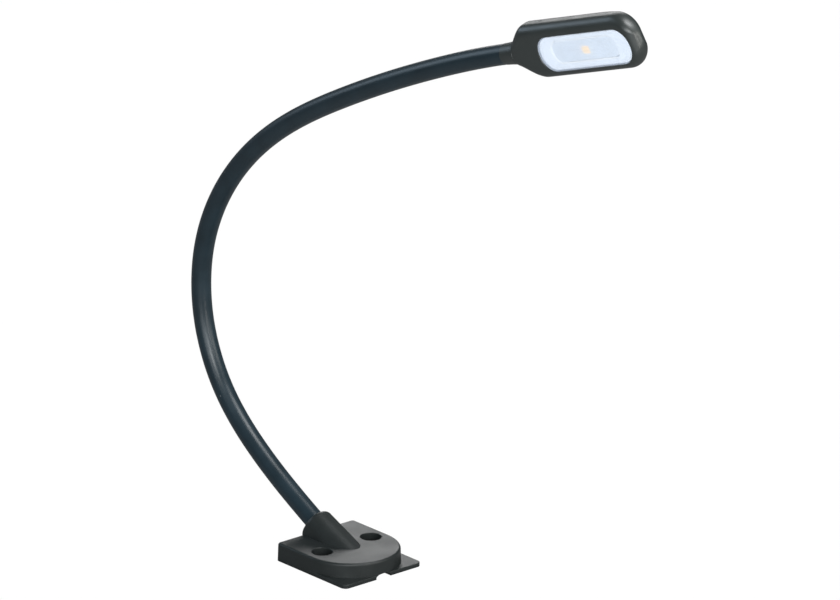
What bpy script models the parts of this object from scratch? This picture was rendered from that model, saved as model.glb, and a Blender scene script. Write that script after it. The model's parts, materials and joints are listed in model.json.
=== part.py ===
"""A picture light on a gooseneck: a screw-down base, a sheathed flexible neck and a swivelling LED head.

The origin is the middle of the base's underside. +Z is up, +X runs from the base's straight back edge
to its rounded front, and the neck lies in the plane y = 0. Dimensions are millimetres.
"""

import math

import bmesh
import bpy
import numpy as np
from mathutils import Matrix, Vector

MM = 0.001
GAP = 0.3

# Base: a D-shaped moulding on a thin square flange, with a sloping socket for the neck
BASE_LENGTH = 51.4
BASE_WIDTH = 50.0
BASE_HEIGHT = 9.3
BACK_X = -BASE_LENGTH / 2
FRONT_RADIUS = BASE_WIDTH / 2
ARC_CENTRE_X = BASE_LENGTH / 2 - FRONT_RADIUS
FLANGE_LENGTH = 45.0
FLANGE_THICKNESS = 2.0
FLANGE_CORNER_RADIUS = 3.0
BACK_CORNER_RADIUS = 1.5
WALL = 2.2
CEILING_Z = 7.3
COVER_THICKNESS = 1.2
HOLE_X = -2.2
HOLE_Y = 15.75
COUNTERBORE_RADIUS = 5.3
SEAT_Z = 4.3
THROUGH_RADIUS = 3.0
PILLAR_RADIUS = 7.2
NOTCH_WIDTH = 9.2
NOTCH_HEIGHT = 2.3
NOTCH_FOOT = 0.9
NOTCH_START_X = 17.0
POST_RADIUS = 2.6
PILOT_RADIUS = 1.3
PILOT_DEPTH = 6.0
COVER_SCREWS = {"left": (-19.5, -19.0), "right": (-19.5, 19.0)}
SINK_RADIUS = 2.2
SINK_DEPTH = 0.7
TERMINAL_LOW = (2.0, -6.0, 2.0)
TERMINAL_HIGH = (13.0, 6.0, 6.9)
TERMINAL_WAY_Y = 3.0
TERMINAL_WAY_Z = 4.4

# Socket: a cone round the neck, cut flush with the base's back
SOCKET_START = 21.5
SOCKET_LENGTH = 40.0
SOCKET_RADIUS = 8.2
SOCKET_RISE = 0.080
SOCKET_SPREAD = 0.045
SOCKET_BLOCK_FRONT_X = -16.5
SOCKET_BLOCK_HALF_WIDTH = 8.5
GLAND_ROOM_RADIUS = 7.1
FERRULE_START = 0.8
FERRULE_END = 9.4

# Neck
SHEATH_RADIUS = 5.0
SHEATH_BORE = 3.9
HOSE_RADIUS = 3.6
HOSE_BORE = 2.4
LEAD_RADIUS = 1.6
SHEATH_SIDES = 12
HOSE_SIDES = 8
LEAD_SIDES = 6
ROUTE = [
    (-8.0, 5.3),
    (-65.4, 37.0),
    (-104.2, 76.4),
    (-112.1, 130.4),
    (-79.2, 189.2),
    (-11.5, 235.9),
    (63.0, 271.0),
    (116.2, 291.2),
]
SOCKET_PITCH = 28.0
HEAD_PITCH = 18.1
BENDS = 12
FIRST_BEND = 33.5
LAST_BEND_TO_SEAM = 23.5
RECESS_RADIUS = SHEATH_RADIUS + GAP
# Where each layer of a length of neck starts and ends, from the centres of the bends at its two ends
BALL_LIP_RADIUS = 4.55
BEND_CLEARANCE = 6.5
HOSE_START = -3.0
HOSE_END = -4.7
LEAD_START = -4.4
LEAD_END = -5.4

# Head: a is the distance along the head from its swivel seam, b its width and c its depth, +c to the front
HEAD_ROLL = 74.3
HEAD_LENGTH = 92.8
HEAD_HALF_WIDTH = 13.2
HEAD_HALF_DEPTH = 6.0
NECK_END_RADIUS = 5.8
FLARE_START = -2.0
FLARE_LENGTH = 22.0
FRONT_EDGE_RADIUS = 2.5
BACK_EDGE_RADIUS = 4.7
PLAN_CORNER_RADIUS = 11.0
BACK_SLOPE_LENGTH = 26.0
TIP_EDGE_DEPTH = 2.0
HEAD_WALL = 1.6
CAVITY_START = 22.0
PARTING_DEPTH = -2.2
COVER_START = 14.0
COLLAR_LENGTH = 10.0
SPIGOT_RADIUS = 3.6
CLIP_CHAMBER_RADIUS = 4.9
CLIP_CHAMBER_START = 6.0
LENS_MIDDLE = 57.2
LENS_LENGTH = 63.4
LENS_WIDTH = 17.75
LENS_CORNER = 8.4
LENS_LIP = 0.8
LENS_BACK = 2.9
LENS_STEP = 4.05
EMITTER_MIDDLE = LENS_MIDDLE - 1.0
EMITTER_HALF = 1.8
COVER_SCREW_A = 17.5
COVER_SCREW_B = 7.2
REAR_PILOT_RADIUS = 1.25


def clear_scene():
    for obj in list(bpy.data.objects):
        bpy.data.objects.remove(obj)


def make_material(name, colour, roughness, metallic=0.0):
    material = bpy.data.materials.new(name)
    material.use_nodes = True
    shader = material.node_tree.nodes["Principled BSDF"]
    shader.inputs["Base Color"].default_value = (*colour, 1.0)
    shader.inputs["Roughness"].default_value = roughness
    shader.inputs["Metallic"].default_value = metallic
    return material


def mesh_object(name, points, faces, material=None):
    """A closed mesh from millimetre points, with its faces turned outwards."""
    mesh = bpy.data.meshes.new(name)
    mesh.from_pydata([tuple(float(v) * MM for v in p) for p in points], [], faces)
    bm = bmesh.new()
    bm.from_mesh(mesh)
    bmesh.ops.recalc_face_normals(bm, faces=bm.faces)
    bm.to_mesh(mesh)
    bm.free()
    mesh.shade_smooth()
    mesh.set_sharp_from_angle(angle=math.radians(35))
    obj = bpy.data.objects.new(name, mesh)
    bpy.context.scene.collection.objects.link(obj)
    if material:
        obj.data.materials.append(material)
    return obj


def as_helper(obj):
    obj.hide_render = True
    obj.display_type = "WIRE"
    obj.hide_set(True)
    return obj


def boolean(target, other, operation):
    modifier = target.modifiers.new(operation.title(), "BOOLEAN")
    modifier.operation = operation
    modifier.solver = "EXACT"
    modifier.object = as_helper(other)
    return target


def cut(target, *cutters):
    for cutter in cutters:
        boolean(target, cutter, "DIFFERENCE")
    return target


def join(target, *others):
    for other in others:
        boolean(target, other, "UNION")
    return target


def keep(target, other):
    return boolean(target, other, "INTERSECT")


def skin(name, rings, material=None, hollow=False):
    """A closed surface through rings of equal point count. A hollow one joins its last ring to its first."""
    count = len(rings[0])
    points = [p for ring in rings for p in ring]
    faces = []
    spans = len(rings) if hollow else len(rings) - 1
    for i in range(spans):
        low = i * count
        high = (i + 1) % len(rings) * count
        for k in range(count):
            m = (k + 1) % count
            faces.append((low + k, low + m, high + m, high + k))
    if not hollow:
        faces.append(tuple(range(count)))
        faces.append(tuple(range(len(points) - count, len(points))))
    return mesh_object(name, points, faces, material)


def circle(frame, radius, along, sides):
    """Points round a frame's Z axis, a distance along it."""
    angles = [2 * math.pi * (k + 0.5) / sides for k in range(sides)]
    return [frame @ Vector((radius * math.cos(t), radius * math.sin(t), along)) for t in angles]


def turned(name, frame, profile, sides, material=None):
    """A ring turned about a frame's Z axis from a closed outline of (radius, along) points."""
    return skin(name, [circle(frame, r, z, sides) for r, z in profile], material, hollow=True)


def rod(name, frame, profile, sides, material=None):
    """A solid turned about a frame's Z axis, from (radius, along) points."""
    return skin(name, [circle(frame, r, z, sides) for r, z in profile], material)


def prism(name, frame, outline, low, high, material=None):
    """An outline of (x, y) points in a frame, extruded along the frame's Z axis."""
    rings = [[frame @ Vector((x, y, z)) for x, y in outline] for z in (low, high)]
    return skin(name, rings, material)


def box(name, frame, low, high, material=None):
    outline = [(low[0], low[1]), (high[0], low[1]), (high[0], high[1]), (low[0], high[1])]
    return prism(name, frame, outline, low[2], high[2], material)


def rounded_rectangle(length, width, radius, steps=5, middle=(0.0, 0.0)):
    radius = min(radius, length / 2 - 0.01, width / 2 - 0.01)
    outline = []
    corners = [(1, 1, 0), (-1, 1, 90), (-1, -1, 180), (1, -1, 270)]
    for sx, sy, start in corners:
        cx = middle[0] + sx * (length / 2 - radius)
        cy = middle[1] + sy * (width / 2 - radius)
        for k in range(steps + 1):
            t = math.radians(start + 90 * k / steps)
            outline.append((cx + radius * math.cos(t), cy + radius * math.sin(t)))
    return outline


def smoothstep(t):
    t = min(max(t, 0.0), 1.0)
    return t * t * (3 - 2 * t)


# The neck's route: one smooth curve in the plane y = 0 from the base to the head's swivel seam


def smooth_curve(points, start_angle, end_angle, step=0.5):
    """Points of the cubic spline through the given (x, z) points, with set directions at its two ends."""
    knots = np.array(points, float)
    chord = np.linalg.norm(np.diff(knots, axis=0), axis=1)
    count = len(knots)
    system = np.zeros((count, count))
    right = np.zeros((count, 2))
    system[0, 0] = system[-1, -1] = 1
    right[0] = math.cos(start_angle), math.sin(start_angle)
    right[-1] = math.cos(end_angle), math.sin(end_angle)
    for i in range(1, count - 1):
        before, after = chord[i - 1], chord[i]
        system[i, i - 1 : i + 2] = 1 / before, 2 / before + 2 / after, 1 / after
        rise = (knots[i] - knots[i - 1]) / before**2 + (knots[i + 1] - knots[i]) / after**2
        right[i] = 3 * rise
    tangent = np.linalg.solve(system, right)
    curve = []
    for i in range(count - 1):
        t = np.linspace(0, 1, int(chord[i] / step), endpoint=False)[:, None]
        curve.append(
            (2 * t**3 - 3 * t**2 + 1) * knots[i]
            + (t**3 - 2 * t**2 + t) * chord[i] * tangent[i]
            + (3 * t**2 - 2 * t**3) * knots[i + 1]
            + (t**3 - t**2) * chord[i] * tangent[i + 1]
        )
    return np.vstack(curve + [knots[-1:]])


CURVE = smooth_curve(ROUTE, math.radians(180 - SOCKET_PITCH), math.radians(HEAD_PITCH))
CURVE_STEPS = np.linalg.norm(np.diff(CURVE, axis=0), axis=1)
CURVE_ARC = np.concatenate([[0], np.cumsum(CURVE_STEPS)])
NECK_LENGTH = float(CURVE_ARC[-1])


def frame_at(point, along, side=Vector((0, 1, 0))):
    """A frame with Z along the given direction and X along the side."""
    z = Vector(along).normalized()
    x = (side - side.dot(z) * z).normalized()
    y = z.cross(x)
    frame = Matrix((x, y, z)).transposed().to_4x4()
    frame.translation = Vector(point)
    return frame


def neck_point(arc):
    inside = min(max(arc, 0.0), NECK_LENGTH)
    x, z = (float(np.interp(inside, CURVE_ARC, CURVE[:, i])) for i in (0, 1))
    return Vector((x, 0.0, z))


def neck_frame(arc):
    """The neck's frame a distance along its route, with Z towards the head."""
    along = neck_point(arc + 0.5) - neck_point(arc - 0.5)
    return frame_at(neck_point(arc), along)


SOCKET_FRAME = neck_frame(1.0)
SOCKET_FRAME.translation = neck_point(0.0)
SEAM = neck_point(NECK_LENGTH)
HEAD_AXIS = Vector((math.cos(math.radians(HEAD_PITCH)), 0, math.sin(math.radians(HEAD_PITCH))))
HEAD_UP = Vector((-HEAD_AXIS.z, 0, HEAD_AXIS.x))
ROLL = math.radians(HEAD_ROLL)
HEAD_FRONT = -math.sin(ROLL) * Vector((0, 1, 0)) - math.cos(ROLL) * HEAD_UP
HEAD_SIDE = HEAD_FRONT.cross(HEAD_AXIS)
COLLAR_FRAME = frame_at(SEAM, HEAD_AXIS)
# The head's plan frame has X along the head, Y across it and Z out of its front
PLAN_FRAME = Matrix((HEAD_AXIS, HEAD_SIDE, HEAD_FRONT)).transposed().to_4x4()
PLAN_FRAME.translation = SEAM
WORLD = Matrix.Identity(4)
BEND_ARCS = np.linspace(FIRST_BEND, NECK_LENGTH - LAST_BEND_TO_SEAM, BENDS)


# Base


def d_outline(inset, back_radius=BACK_CORNER_RADIUS, arc_steps=18, corner_steps=3):
    """The base's plan: a straight back with small corners and a half-round front, moved in by an inset."""
    half = BASE_WIDTH / 2 - inset
    back = BACK_X + inset
    outline = []
    for k in range(arc_steps + 1):
        t = math.pi * (k / arc_steps - 0.5)
        outline.append((ARC_CENTRE_X + half * math.cos(t), half * math.sin(t)))
    radius = max(back_radius - inset, 0.4)
    for side, start in ((1, 90), (-1, 180)):
        for k in range(corner_steps + 1):
            t = math.radians(start + 90 * k / corner_steps)
            x = back + radius + radius * math.cos(t)
            y = side * (half - radius) + radius * math.sin(t)
            outline.append((x, y))
    return outline


def make_socket_cone():
    """The neck's socket: an oval cone round its axis, rounded at its mouth and cut flush with the back."""
    rings = []
    mouth = [(0.0, 1.6), (0.6, 0.7), (2.2, 0.0)]
    stations = [(s, drop) for s, drop in mouth] + [(SOCKET_LENGTH, 0.0)]
    for s, drop in stations:
        radius_up = SOCKET_RADIUS + SOCKET_RISE * s - drop
        radius_side = SOCKET_RADIUS + SOCKET_SPREAD * s - drop
        ring = []
        for k in range(24):
            t = 2 * math.pi * (k + 0.5) / 24
            offset = Vector((radius_side * math.cos(t), radius_up * math.sin(t), SOCKET_START - s))
            ring.append(SOCKET_FRAME @ offset)
        rings.append(ring)
    cone = skin("socket_cone", rings)
    return keep(cone, box("socket_limits", WORLD, (BACK_X + 0.05, -20, 3), (30, 20, 40)))


def pillar_outline(side, radius, steps=10):
    """A screw pillar's plan: half round towards the middle and straight out into the side wall."""
    outline = []
    for k in range(steps + 1):
        t = math.pi * k / steps
        outline.append((HOLE_X + radius * math.cos(t), side * (HOLE_Y - radius * math.sin(t))))
    outline.append((HOLE_X - radius, side * (HOLE_Y + 8.5)))
    outline.append((HOLE_X + radius, side * (HOLE_Y + 8.5)))
    return outline


def make_base_housing(material):
    wall = [(0.1, 0.0), (0.55, BASE_HEIGHT - 1.0), (0.85, BASE_HEIGHT - 0.35), (1.5, BASE_HEIGHT)]
    rings = [[(x, y, z) for x, y in d_outline(inset)] for inset, z in wall]
    housing = skin("base_housing", rings, material)
    flange_plan = rounded_rectangle(
        FLANGE_LENGTH, BASE_WIDTH, FLANGE_CORNER_RADIUS, 4, (BASE_LENGTH / 2 - FLANGE_LENGTH / 2, 0)
    )
    join(housing, prism("flange", WORLD, flange_plan, 0, FLANGE_THICKNESS), make_socket_cone())
    pillars = [
        prism(f"pillar_{side}", WORLD, pillar_outline(sign, PILLAR_RADIUS), -3, 12)
        for side, sign in (("left", -1), ("right", 1))
    ]
    posts = [
        rod(f"post_{side}", frame_at((x, y, 0), (0, 0, 1)), [(POST_RADIUS, -2), (POST_RADIUS, 12)], 12)
        for side, (x, y) in COVER_SCREWS.items()
    ]
    half_block = SOCKET_BLOCK_HALF_WIDTH
    block = box("socket_block", WORLD, (-30, -half_block, -2), (SOCKET_BLOCK_FRONT_X, half_block, 12))
    recess = prism("cover_recess", WORLD, d_outline(WALL), -1, COVER_THICKNESS + GAP)
    cut(recess, *pillars)
    pocket = prism("pocket", WORLD, d_outline(WALL + 0.6), -1.5, CEILING_Z)
    cut(pocket, *pillars, *posts, block)
    cut(housing, recess, pocket)
    gland_room = [(GLAND_ROOM_RADIUS, -6.0), (GLAND_ROOM_RADIUS, 10.0)]
    bore = [(RECESS_RADIUS, 5.0), (RECESS_RADIUS, 40.0)]
    cut(housing, rod("gland_room", SOCKET_FRAME, gland_room, 20), rod("neck_bore", SOCKET_FRAME, bore, 16))
    for side, y in (("left", -HOLE_Y), ("right", HOLE_Y)):
        frame = frame_at((HOLE_X, y, 0), (0, 0, 1))
        cut(
            housing,
            rod(f"counterbore_{side}", frame, [(COUNTERBORE_RADIUS, SEAT_Z), (COUNTERBORE_RADIUS, 14)], 24),
            rod(f"through_{side}", frame, [(THROUGH_RADIUS, -1), (THROUGH_RADIUS, 14)], 16),
        )
    for side, (x, y) in COVER_SCREWS.items():
        frame = frame_at((x, y, 0), (0, 0, 1))
        cut(housing, rod(f"pilot_{side}", frame, [(PILOT_RADIUS, 0), (PILOT_RADIUS, PILOT_DEPTH)], 10))
    half = NOTCH_WIDTH / 2
    arch = [(-half, -1), *notch_arch(), (half, -1)]
    front = frame_at((0, 0, 0), (1, 0, 0))
    cut(housing, prism("cable_notch", front, arch, NOTCH_START_X, 30))
    return housing


def notch_arch():
    """The cable notch's outline as (y, z) points, from its left foot over the arch to its right foot."""
    half = NOTCH_WIDTH / 2
    steps = 6
    arch = []
    for k in range(steps + 1):
        t = math.pi * (1 - k / steps)
        arch.append((half * math.cos(t), NOTCH_FOOT + (NOTCH_HEIGHT - NOTCH_FOOT) * math.sin(t)))
    return arch


def make_base_cover(material):
    cover = prism("base_bottom_cover", WORLD, d_outline(WALL + GAP), 0, COVER_THICKNESS, material)
    for side, sign in (("left", -1), ("right", 1)):
        outline = pillar_outline(sign, PILLAR_RADIUS + GAP)
        cut(cover, prism(f"cover_clearance_{side}", WORLD, outline, -1, 3))
    for side, (x, y) in COVER_SCREWS.items():
        frame = frame_at((x, y, 0), (0, 0, 1))
        cut(
            cover,
            rod(f"cover_sink_{side}", frame, [(SINK_RADIUS, -1), (SINK_RADIUS, SINK_DEPTH)], 12),
            rod(f"cover_hole_{side}", frame, [(PILOT_RADIUS, -1), (PILOT_RADIUS, 3)], 10),
        )
    half = NOTCH_WIDTH / 2
    cut(cover, box("cover_notch", WORLD, (NOTCH_START_X - 0.5, -half, -1), (30, half, 3)))
    return cover


def make_screw(name, frame, head_radius, head_height, shank_radius, length, material):
    """A pan-head screw whose frame's Z runs from its head into the work."""
    profile = [
        (head_radius * 0.8, 0.0),
        (head_radius, head_height * 0.5),
        (head_radius, head_height),
        (shank_radius, head_height),
        (shank_radius, length - 0.8),
        (shank_radius * 0.3, length),
    ]
    rod(name, frame, profile, 10, material)


def make_base_screws(material):
    for side, (x, y) in COVER_SCREWS.items():
        frame = frame_at((x, y, 0.15), (0, 0, 1))
        make_screw(f"base_cover_screw_{side}", frame, 1.8, 0.45, 0.95, 5.2, material)


def make_terminal_block(material):
    """A two-way push-in terminal block, open at its front for the supply wires."""
    block = box("terminal_block", WORLD, TERMINAL_LOW, TERMINAL_HIGH, material)
    for side, y in (("left", -TERMINAL_WAY_Y), ("right", TERMINAL_WAY_Y)):
        way = frame_at((0, y, TERMINAL_WAY_Z), (1, 0, 0))
        cut(block, rod(f"terminal_way_{side}", way, [(1.3, 5.5), (1.3, 15)], 12))


def make_gland(ferrule_material, nut_material):
    """The hose's threaded end and the hex nut that draws it into the socket."""
    start, end = FERRULE_START, FERRULE_END
    profile = [(5.0, end), (5.0, start + 0.4), (4.6, start), (SHEATH_BORE, start), (SHEATH_BORE, end)]
    turned("gooseneck_ferrule", SOCKET_FRAME, profile, 16, ferrule_material)
    nut_profile = [(6.1, 3.2), (6.6, 3.7), (6.6, 8.0), (6.1, 8.5)]
    nut = rod("gooseneck_nut", SOCKET_FRAME, nut_profile, 6, nut_material)
    cut(nut, rod("nut_bore", SOCKET_FRAME, [(RECESS_RADIUS, 0), (RECESS_RADIUS, 12)], 16))


# Neck


def sphere_ring(frame, sphere_radius, ring_radius, sides):
    """A ring on the root side of a sphere round a bend's centre."""
    along = -math.sqrt(sphere_radius**2 - ring_radius**2)
    return circle(frame, ring_radius, along, sides)


def stations(low, high):
    """Arcs between two bends, closer together where the neck curves more."""
    turn = neck_frame(low).col[2].xyz.angle(neck_frame(high).col[2].xyz)
    inner = 2 + int(turn / math.radians(7))
    start = low + BEND_CLEARANCE
    # The last length is too short for the full clearance at its upper end
    end = max(high - BEND_CLEARANCE - 1, start + 2)
    return list(np.linspace(start, end, inner))


def tube_layer(name, low, high, radius, low_end, high_end, sides, material, bore=None, more=()):
    """One layer of a neck segment between two arcs, with its ends a set distance from the bends' centres."""
    low_frame = neck_frame(low)
    high_frame = neck_frame(high)
    middle = stations(low, high)

    def line(r):
        rings = [circle(low_frame, r, low_end, sides)]
        rings += [circle(neck_frame(arc), r, 0, sides) for arc in middle]
        rings.append(circle(high_frame, r, high_end, sides))
        return rings

    if bore is None:
        extra = [circle(frame, radius, 0, sides) for frame in more]
        return skin(name, extra + line(radius), material)
    return skin(name, line(radius) + line(bore)[::-1], material, hollow=True)


def make_sheath(index, low, high, material):
    """One length of sheath: a ball at its lower end, a matching recess at its upper end."""
    sides = SHEATH_SIDES
    first = index == 0
    last = index == BENDS
    low_frame = neck_frame(low)
    high_frame = neck_frame(high)
    middle = stations(low, high)
    rings = []
    if first:
        rings.append(circle(low_frame, SHEATH_BORE, 0, sides))
    else:
        for radius in (SHEATH_BORE, BALL_LIP_RADIUS):
            rings.append(sphere_ring(low_frame, SHEATH_RADIUS, radius, sides))
    rings.append(circle(low_frame, SHEATH_RADIUS, 0, sides))
    rings += [circle(neck_frame(arc), SHEATH_RADIUS, 0, sides) for arc in middle]
    if last:
        rings.append(circle(high_frame, SHEATH_RADIUS, 0, sides))
        rings.append(circle(high_frame, SHEATH_BORE, 0, sides))
    else:
        for radius in (SHEATH_RADIUS, BALL_LIP_RADIUS, SHEATH_BORE):
            rings.append(sphere_ring(high_frame, RECESS_RADIUS, radius, sides))
    rings += [circle(neck_frame(arc), SHEATH_BORE, 0, sides) for arc in reversed(middle)]
    skin(f"sheath_{index:02d}", rings, material, hollow=True)


def make_neck(sheath, hose, lead):
    """The neck in lengths from bend to bend. Only a ball's own layers reach inside its sphere."""
    arcs = [FERRULE_END + 1.0, *BEND_ARCS, NECK_LENGTH - COLLAR_LENGTH - GAP]
    for i in range(BENDS + 1):
        low, high = arcs[i], arcs[i + 1]
        make_sheath(i, low, high, sheath)
        first = i == 0
        last = i == BENDS
        tube_layer(
            f"hose_{i:02d}", low, high, HOSE_RADIUS,
            -FERRULE_END if first else HOSE_START,
            COLLAR_LENGTH - 2.2 if last else HOSE_END,
            HOSE_SIDES, hose, bore=HOSE_BORE,
        )
        entry = [frame_at(p, (-1, 0, 0.2)) for p in ((1.6, 0, 4.4), (-3.0, 0, 4.6))]
        tube_layer(
            f"lead_{i:02d}", low, high, LEAD_RADIUS,
            -FERRULE_END - 1.6 if first else LEAD_START,
            COLLAR_LENGTH + GAP + 8.7 if last else LEAD_END,
            LEAD_SIDES, lead, more=entry if first else (),
        )


# Swivel


def make_collar(material, ring_material, clip_material):
    outline = [
        (5.25, -COLLAR_LENGTH),
        (5.35, -6.0),
        (5.75, -0.15),
        (SPIGOT_RADIUS, -0.15),
        (SPIGOT_RADIUS, 2.0),
        (2.8, 2.0),
        (2.8, 3.9),
        (SPIGOT_RADIUS, 3.9),
        (SPIGOT_RADIUS, 6.1),
        (2.7, 6.1),
        (2.7, 7.5),
        (SPIGOT_RADIUS, 7.5),
        (3.3, 8.4),
        (1.95, 8.4),
        (1.95, -2.0),
        (SHEATH_BORE, -2.0),
        (SHEATH_BORE, -COLLAR_LENGTH),
    ]
    turned("head_collar", COLLAR_FRAME, outline, 20, material)
    ring = [(3.2, 2.3), (3.55, 2.5), (3.55, 3.4), (3.2, 3.6), (3.1, 2.95)]
    turned("swivel_friction_ring", COLLAR_FRAME, ring[::-1], 20, ring_material)
    clip_profile = [(4.6, 6.4), (4.6, 7.2), (3.0, 7.2), (3.0, 6.4)]
    clip = turned("swivel_clip", COLLAR_FRAME, clip_profile, 20, clip_material)
    cut(clip, box("clip_gap", COLLAR_FRAME, (-1.2, 0, 5), (1.2, 6, 9)))


# Head


def head_section(a, inset=0.0, steps=4):
    """The head's outline across its length at a distance from the seam, as (b, c) points."""
    grow = smoothstep((a - FLARE_START) / FLARE_LENGTH)
    swell = smoothstep(a / 15.0)
    width = NECK_END_RADIUS + (HEAD_HALF_WIDTH - NECK_END_RADIUS) * grow
    front = NECK_END_RADIUS + (HEAD_HALF_DEPTH - NECK_END_RADIUS) * swell
    back = -front
    front_radius = NECK_END_RADIUS + (FRONT_EDGE_RADIUS - NECK_END_RADIUS) * swell
    back_radius = NECK_END_RADIUS + (BACK_EDGE_RADIUS - NECK_END_RADIUS) * swell
    end = HEAD_LENGTH - inset
    corner = PLAN_CORNER_RADIUS - inset
    past_corner = min(max(a - (end - corner), 0.0), corner)
    past_edge = min(max(a - (end - FRONT_EDGE_RADIUS), 0.0), FRONT_EDGE_RADIUS)
    past_slope = min(max(a - (end - BACK_SLOPE_LENGTH), 0.0), BACK_SLOPE_LENGTH)
    width -= corner - math.sqrt(corner**2 - past_corner**2)
    front -= FRONT_EDGE_RADIUS - math.sqrt(FRONT_EDGE_RADIUS**2 - past_edge**2)
    slope = math.sqrt(1 - (past_slope / BACK_SLOPE_LENGTH) ** 2)
    back = TIP_EDGE_DEPTH + (back - TIP_EDGE_DEPTH) * slope
    width -= inset
    front -= inset
    back += inset * slope
    depth = front - back
    fit = min(1.0, 0.96 * depth / (front_radius + back_radius))
    front_radius = max(min(front_radius * fit, width * 0.98) - inset * 0.6, 0.3)
    back_radius = max(min(back_radius * fit, width * 0.98) - inset * 0.6, 0.3)
    outline = []
    corners = [(1, front, front_radius, 0), (-1, front, front_radius, 90)]
    corners += [(-1, back, back_radius, 180), (1, back, back_radius, 270)]
    for side, edge, radius, start in corners:
        b = side * (width - radius)
        c = edge - math.copysign(radius, edge - (front + back) / 2)
        for k in range(steps + 1):
            t = math.radians(start + 90 * k / steps)
            outline.append((b + radius * math.cos(t), c + radius * math.sin(t)))
    return outline


def head_loft(name, start, inset, material=None, steps=4):
    """The head's body from a start to its tip, drawn in by an inset."""
    end = HEAD_LENGTH - inset
    corner = PLAN_CORNER_RADIUS - inset
    places = [start] + [a for a in (3, 6, 9, 12, 15, 18, 22, 66, 72, 77) if start + 1 < a]
    places += [end - corner + corner * math.sin(math.radians(t)) for t in (0, 20, 38, 54, 67, 77, 84, 88.5)]
    rings = []
    for a in places:
        ring = [PLAN_FRAME @ Vector((a, b, c)) for b, c in head_section(a, inset, steps)]
        rings.append(ring)
    return skin(name, rings, material)


def head_screw_frames(depth):
    """A frame at each of the rear cover's screws, with Z pointing in from the back."""
    places = {"lower": -COVER_SCREW_B, "upper": COVER_SCREW_B}
    return {
        side: frame_at(PLAN_FRAME @ Vector((COVER_SCREW_A, b, depth)), HEAD_FRONT, HEAD_SIDE)
        for side, b in places.items()
    }


def make_head_shells(material):
    housing = head_loft("head_housing", 0.15, 0, material)
    window = rounded_rectangle(
        LENS_LENGTH + 2 * GAP, LENS_WIDTH + 2 * GAP, LENS_CORNER + GAP, 6, (LENS_MIDDLE, 0)
    )
    cut(
        housing,
        box("rear_half", PLAN_FRAME, (COVER_START, -20, -12), (HEAD_LENGTH + 5, 20, PARTING_DEPTH + GAP / 2)),
        head_loft("head_cavity_front", CAVITY_START, HEAD_WALL),
        prism("lens_window", PLAN_FRAME, window, 3.0, 8.0),
        rod("spigot_bore", COLLAR_FRAME, [(SPIGOT_RADIUS + GAP, -1), (SPIGOT_RADIUS + GAP, 8)], 20),
        rod(
            "clip_chamber", COLLAR_FRAME,
            [(CLIP_CHAMBER_RADIUS, CLIP_CHAMBER_START), (CLIP_CHAMBER_RADIUS, CAVITY_START + 1)], 20,
        ),
    )
    cover = head_loft("head_rear_cover", 6.0, 0, material)
    rear_low = (COVER_START + GAP, -20, -12)
    rear_high = (HEAD_LENGTH + 5, 20, PARTING_DEPTH - GAP / 2)
    keep(cover, box("rear_limits", PLAN_FRAME, rear_low, rear_high))
    channel = [(CLIP_CHAMBER_RADIUS, 5), (CLIP_CHAMBER_RADIUS, CAVITY_START + 1)]
    cut(
        cover,
        head_loft("head_cavity_rear", CAVITY_START, HEAD_WALL),
        rod("lead_channel", COLLAR_FRAME, channel, 20),
    )
    for side, frame in head_screw_frames(-HEAD_HALF_DEPTH).items():
        cut(
            cover,
            rod(f"rear_sink_{side}", frame, [(2.1, -2), (2.1, 1.3)], 12),
            rod(f"rear_hole_{side}", frame, [(REAR_PILOT_RADIUS, -2), (REAR_PILOT_RADIUS, 6)], 10),
        )
        pilot = [(REAR_PILOT_RADIUS, -2), (REAR_PILOT_RADIUS, 8.3)]
        cut(housing, rod(f"rear_pilot_{side}", frame, pilot, 10))


def make_head_screws(material):
    for side, frame in head_screw_frames(-5.4).items():
        make_screw(f"rear_cover_screw_{side}", frame, 1.7, 0.6, 0.9, 6.5, material)


def make_lens(material):
    """A stepped lens: its face fills the window and its flange lies behind the housing's front wall."""
    middle = (LENS_MIDDLE, 0)
    face = rounded_rectangle(LENS_LENGTH, LENS_WIDTH, LENS_CORNER, 6, middle)
    lip = LENS_LIP
    flange = rounded_rectangle(LENS_LENGTH + 2 * lip, LENS_WIDTH + 2 * lip, LENS_CORNER + lip, 6, middle)
    steps = [(flange, LENS_BACK), (flange, LENS_STEP), (face, LENS_STEP), (face, HEAD_HALF_DEPTH - 0.15)]
    rings = [[PLAN_FRAME @ Vector((a, b, c)) for a, b in outline] for outline, c in steps]
    skin("lens", rings, material)


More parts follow.
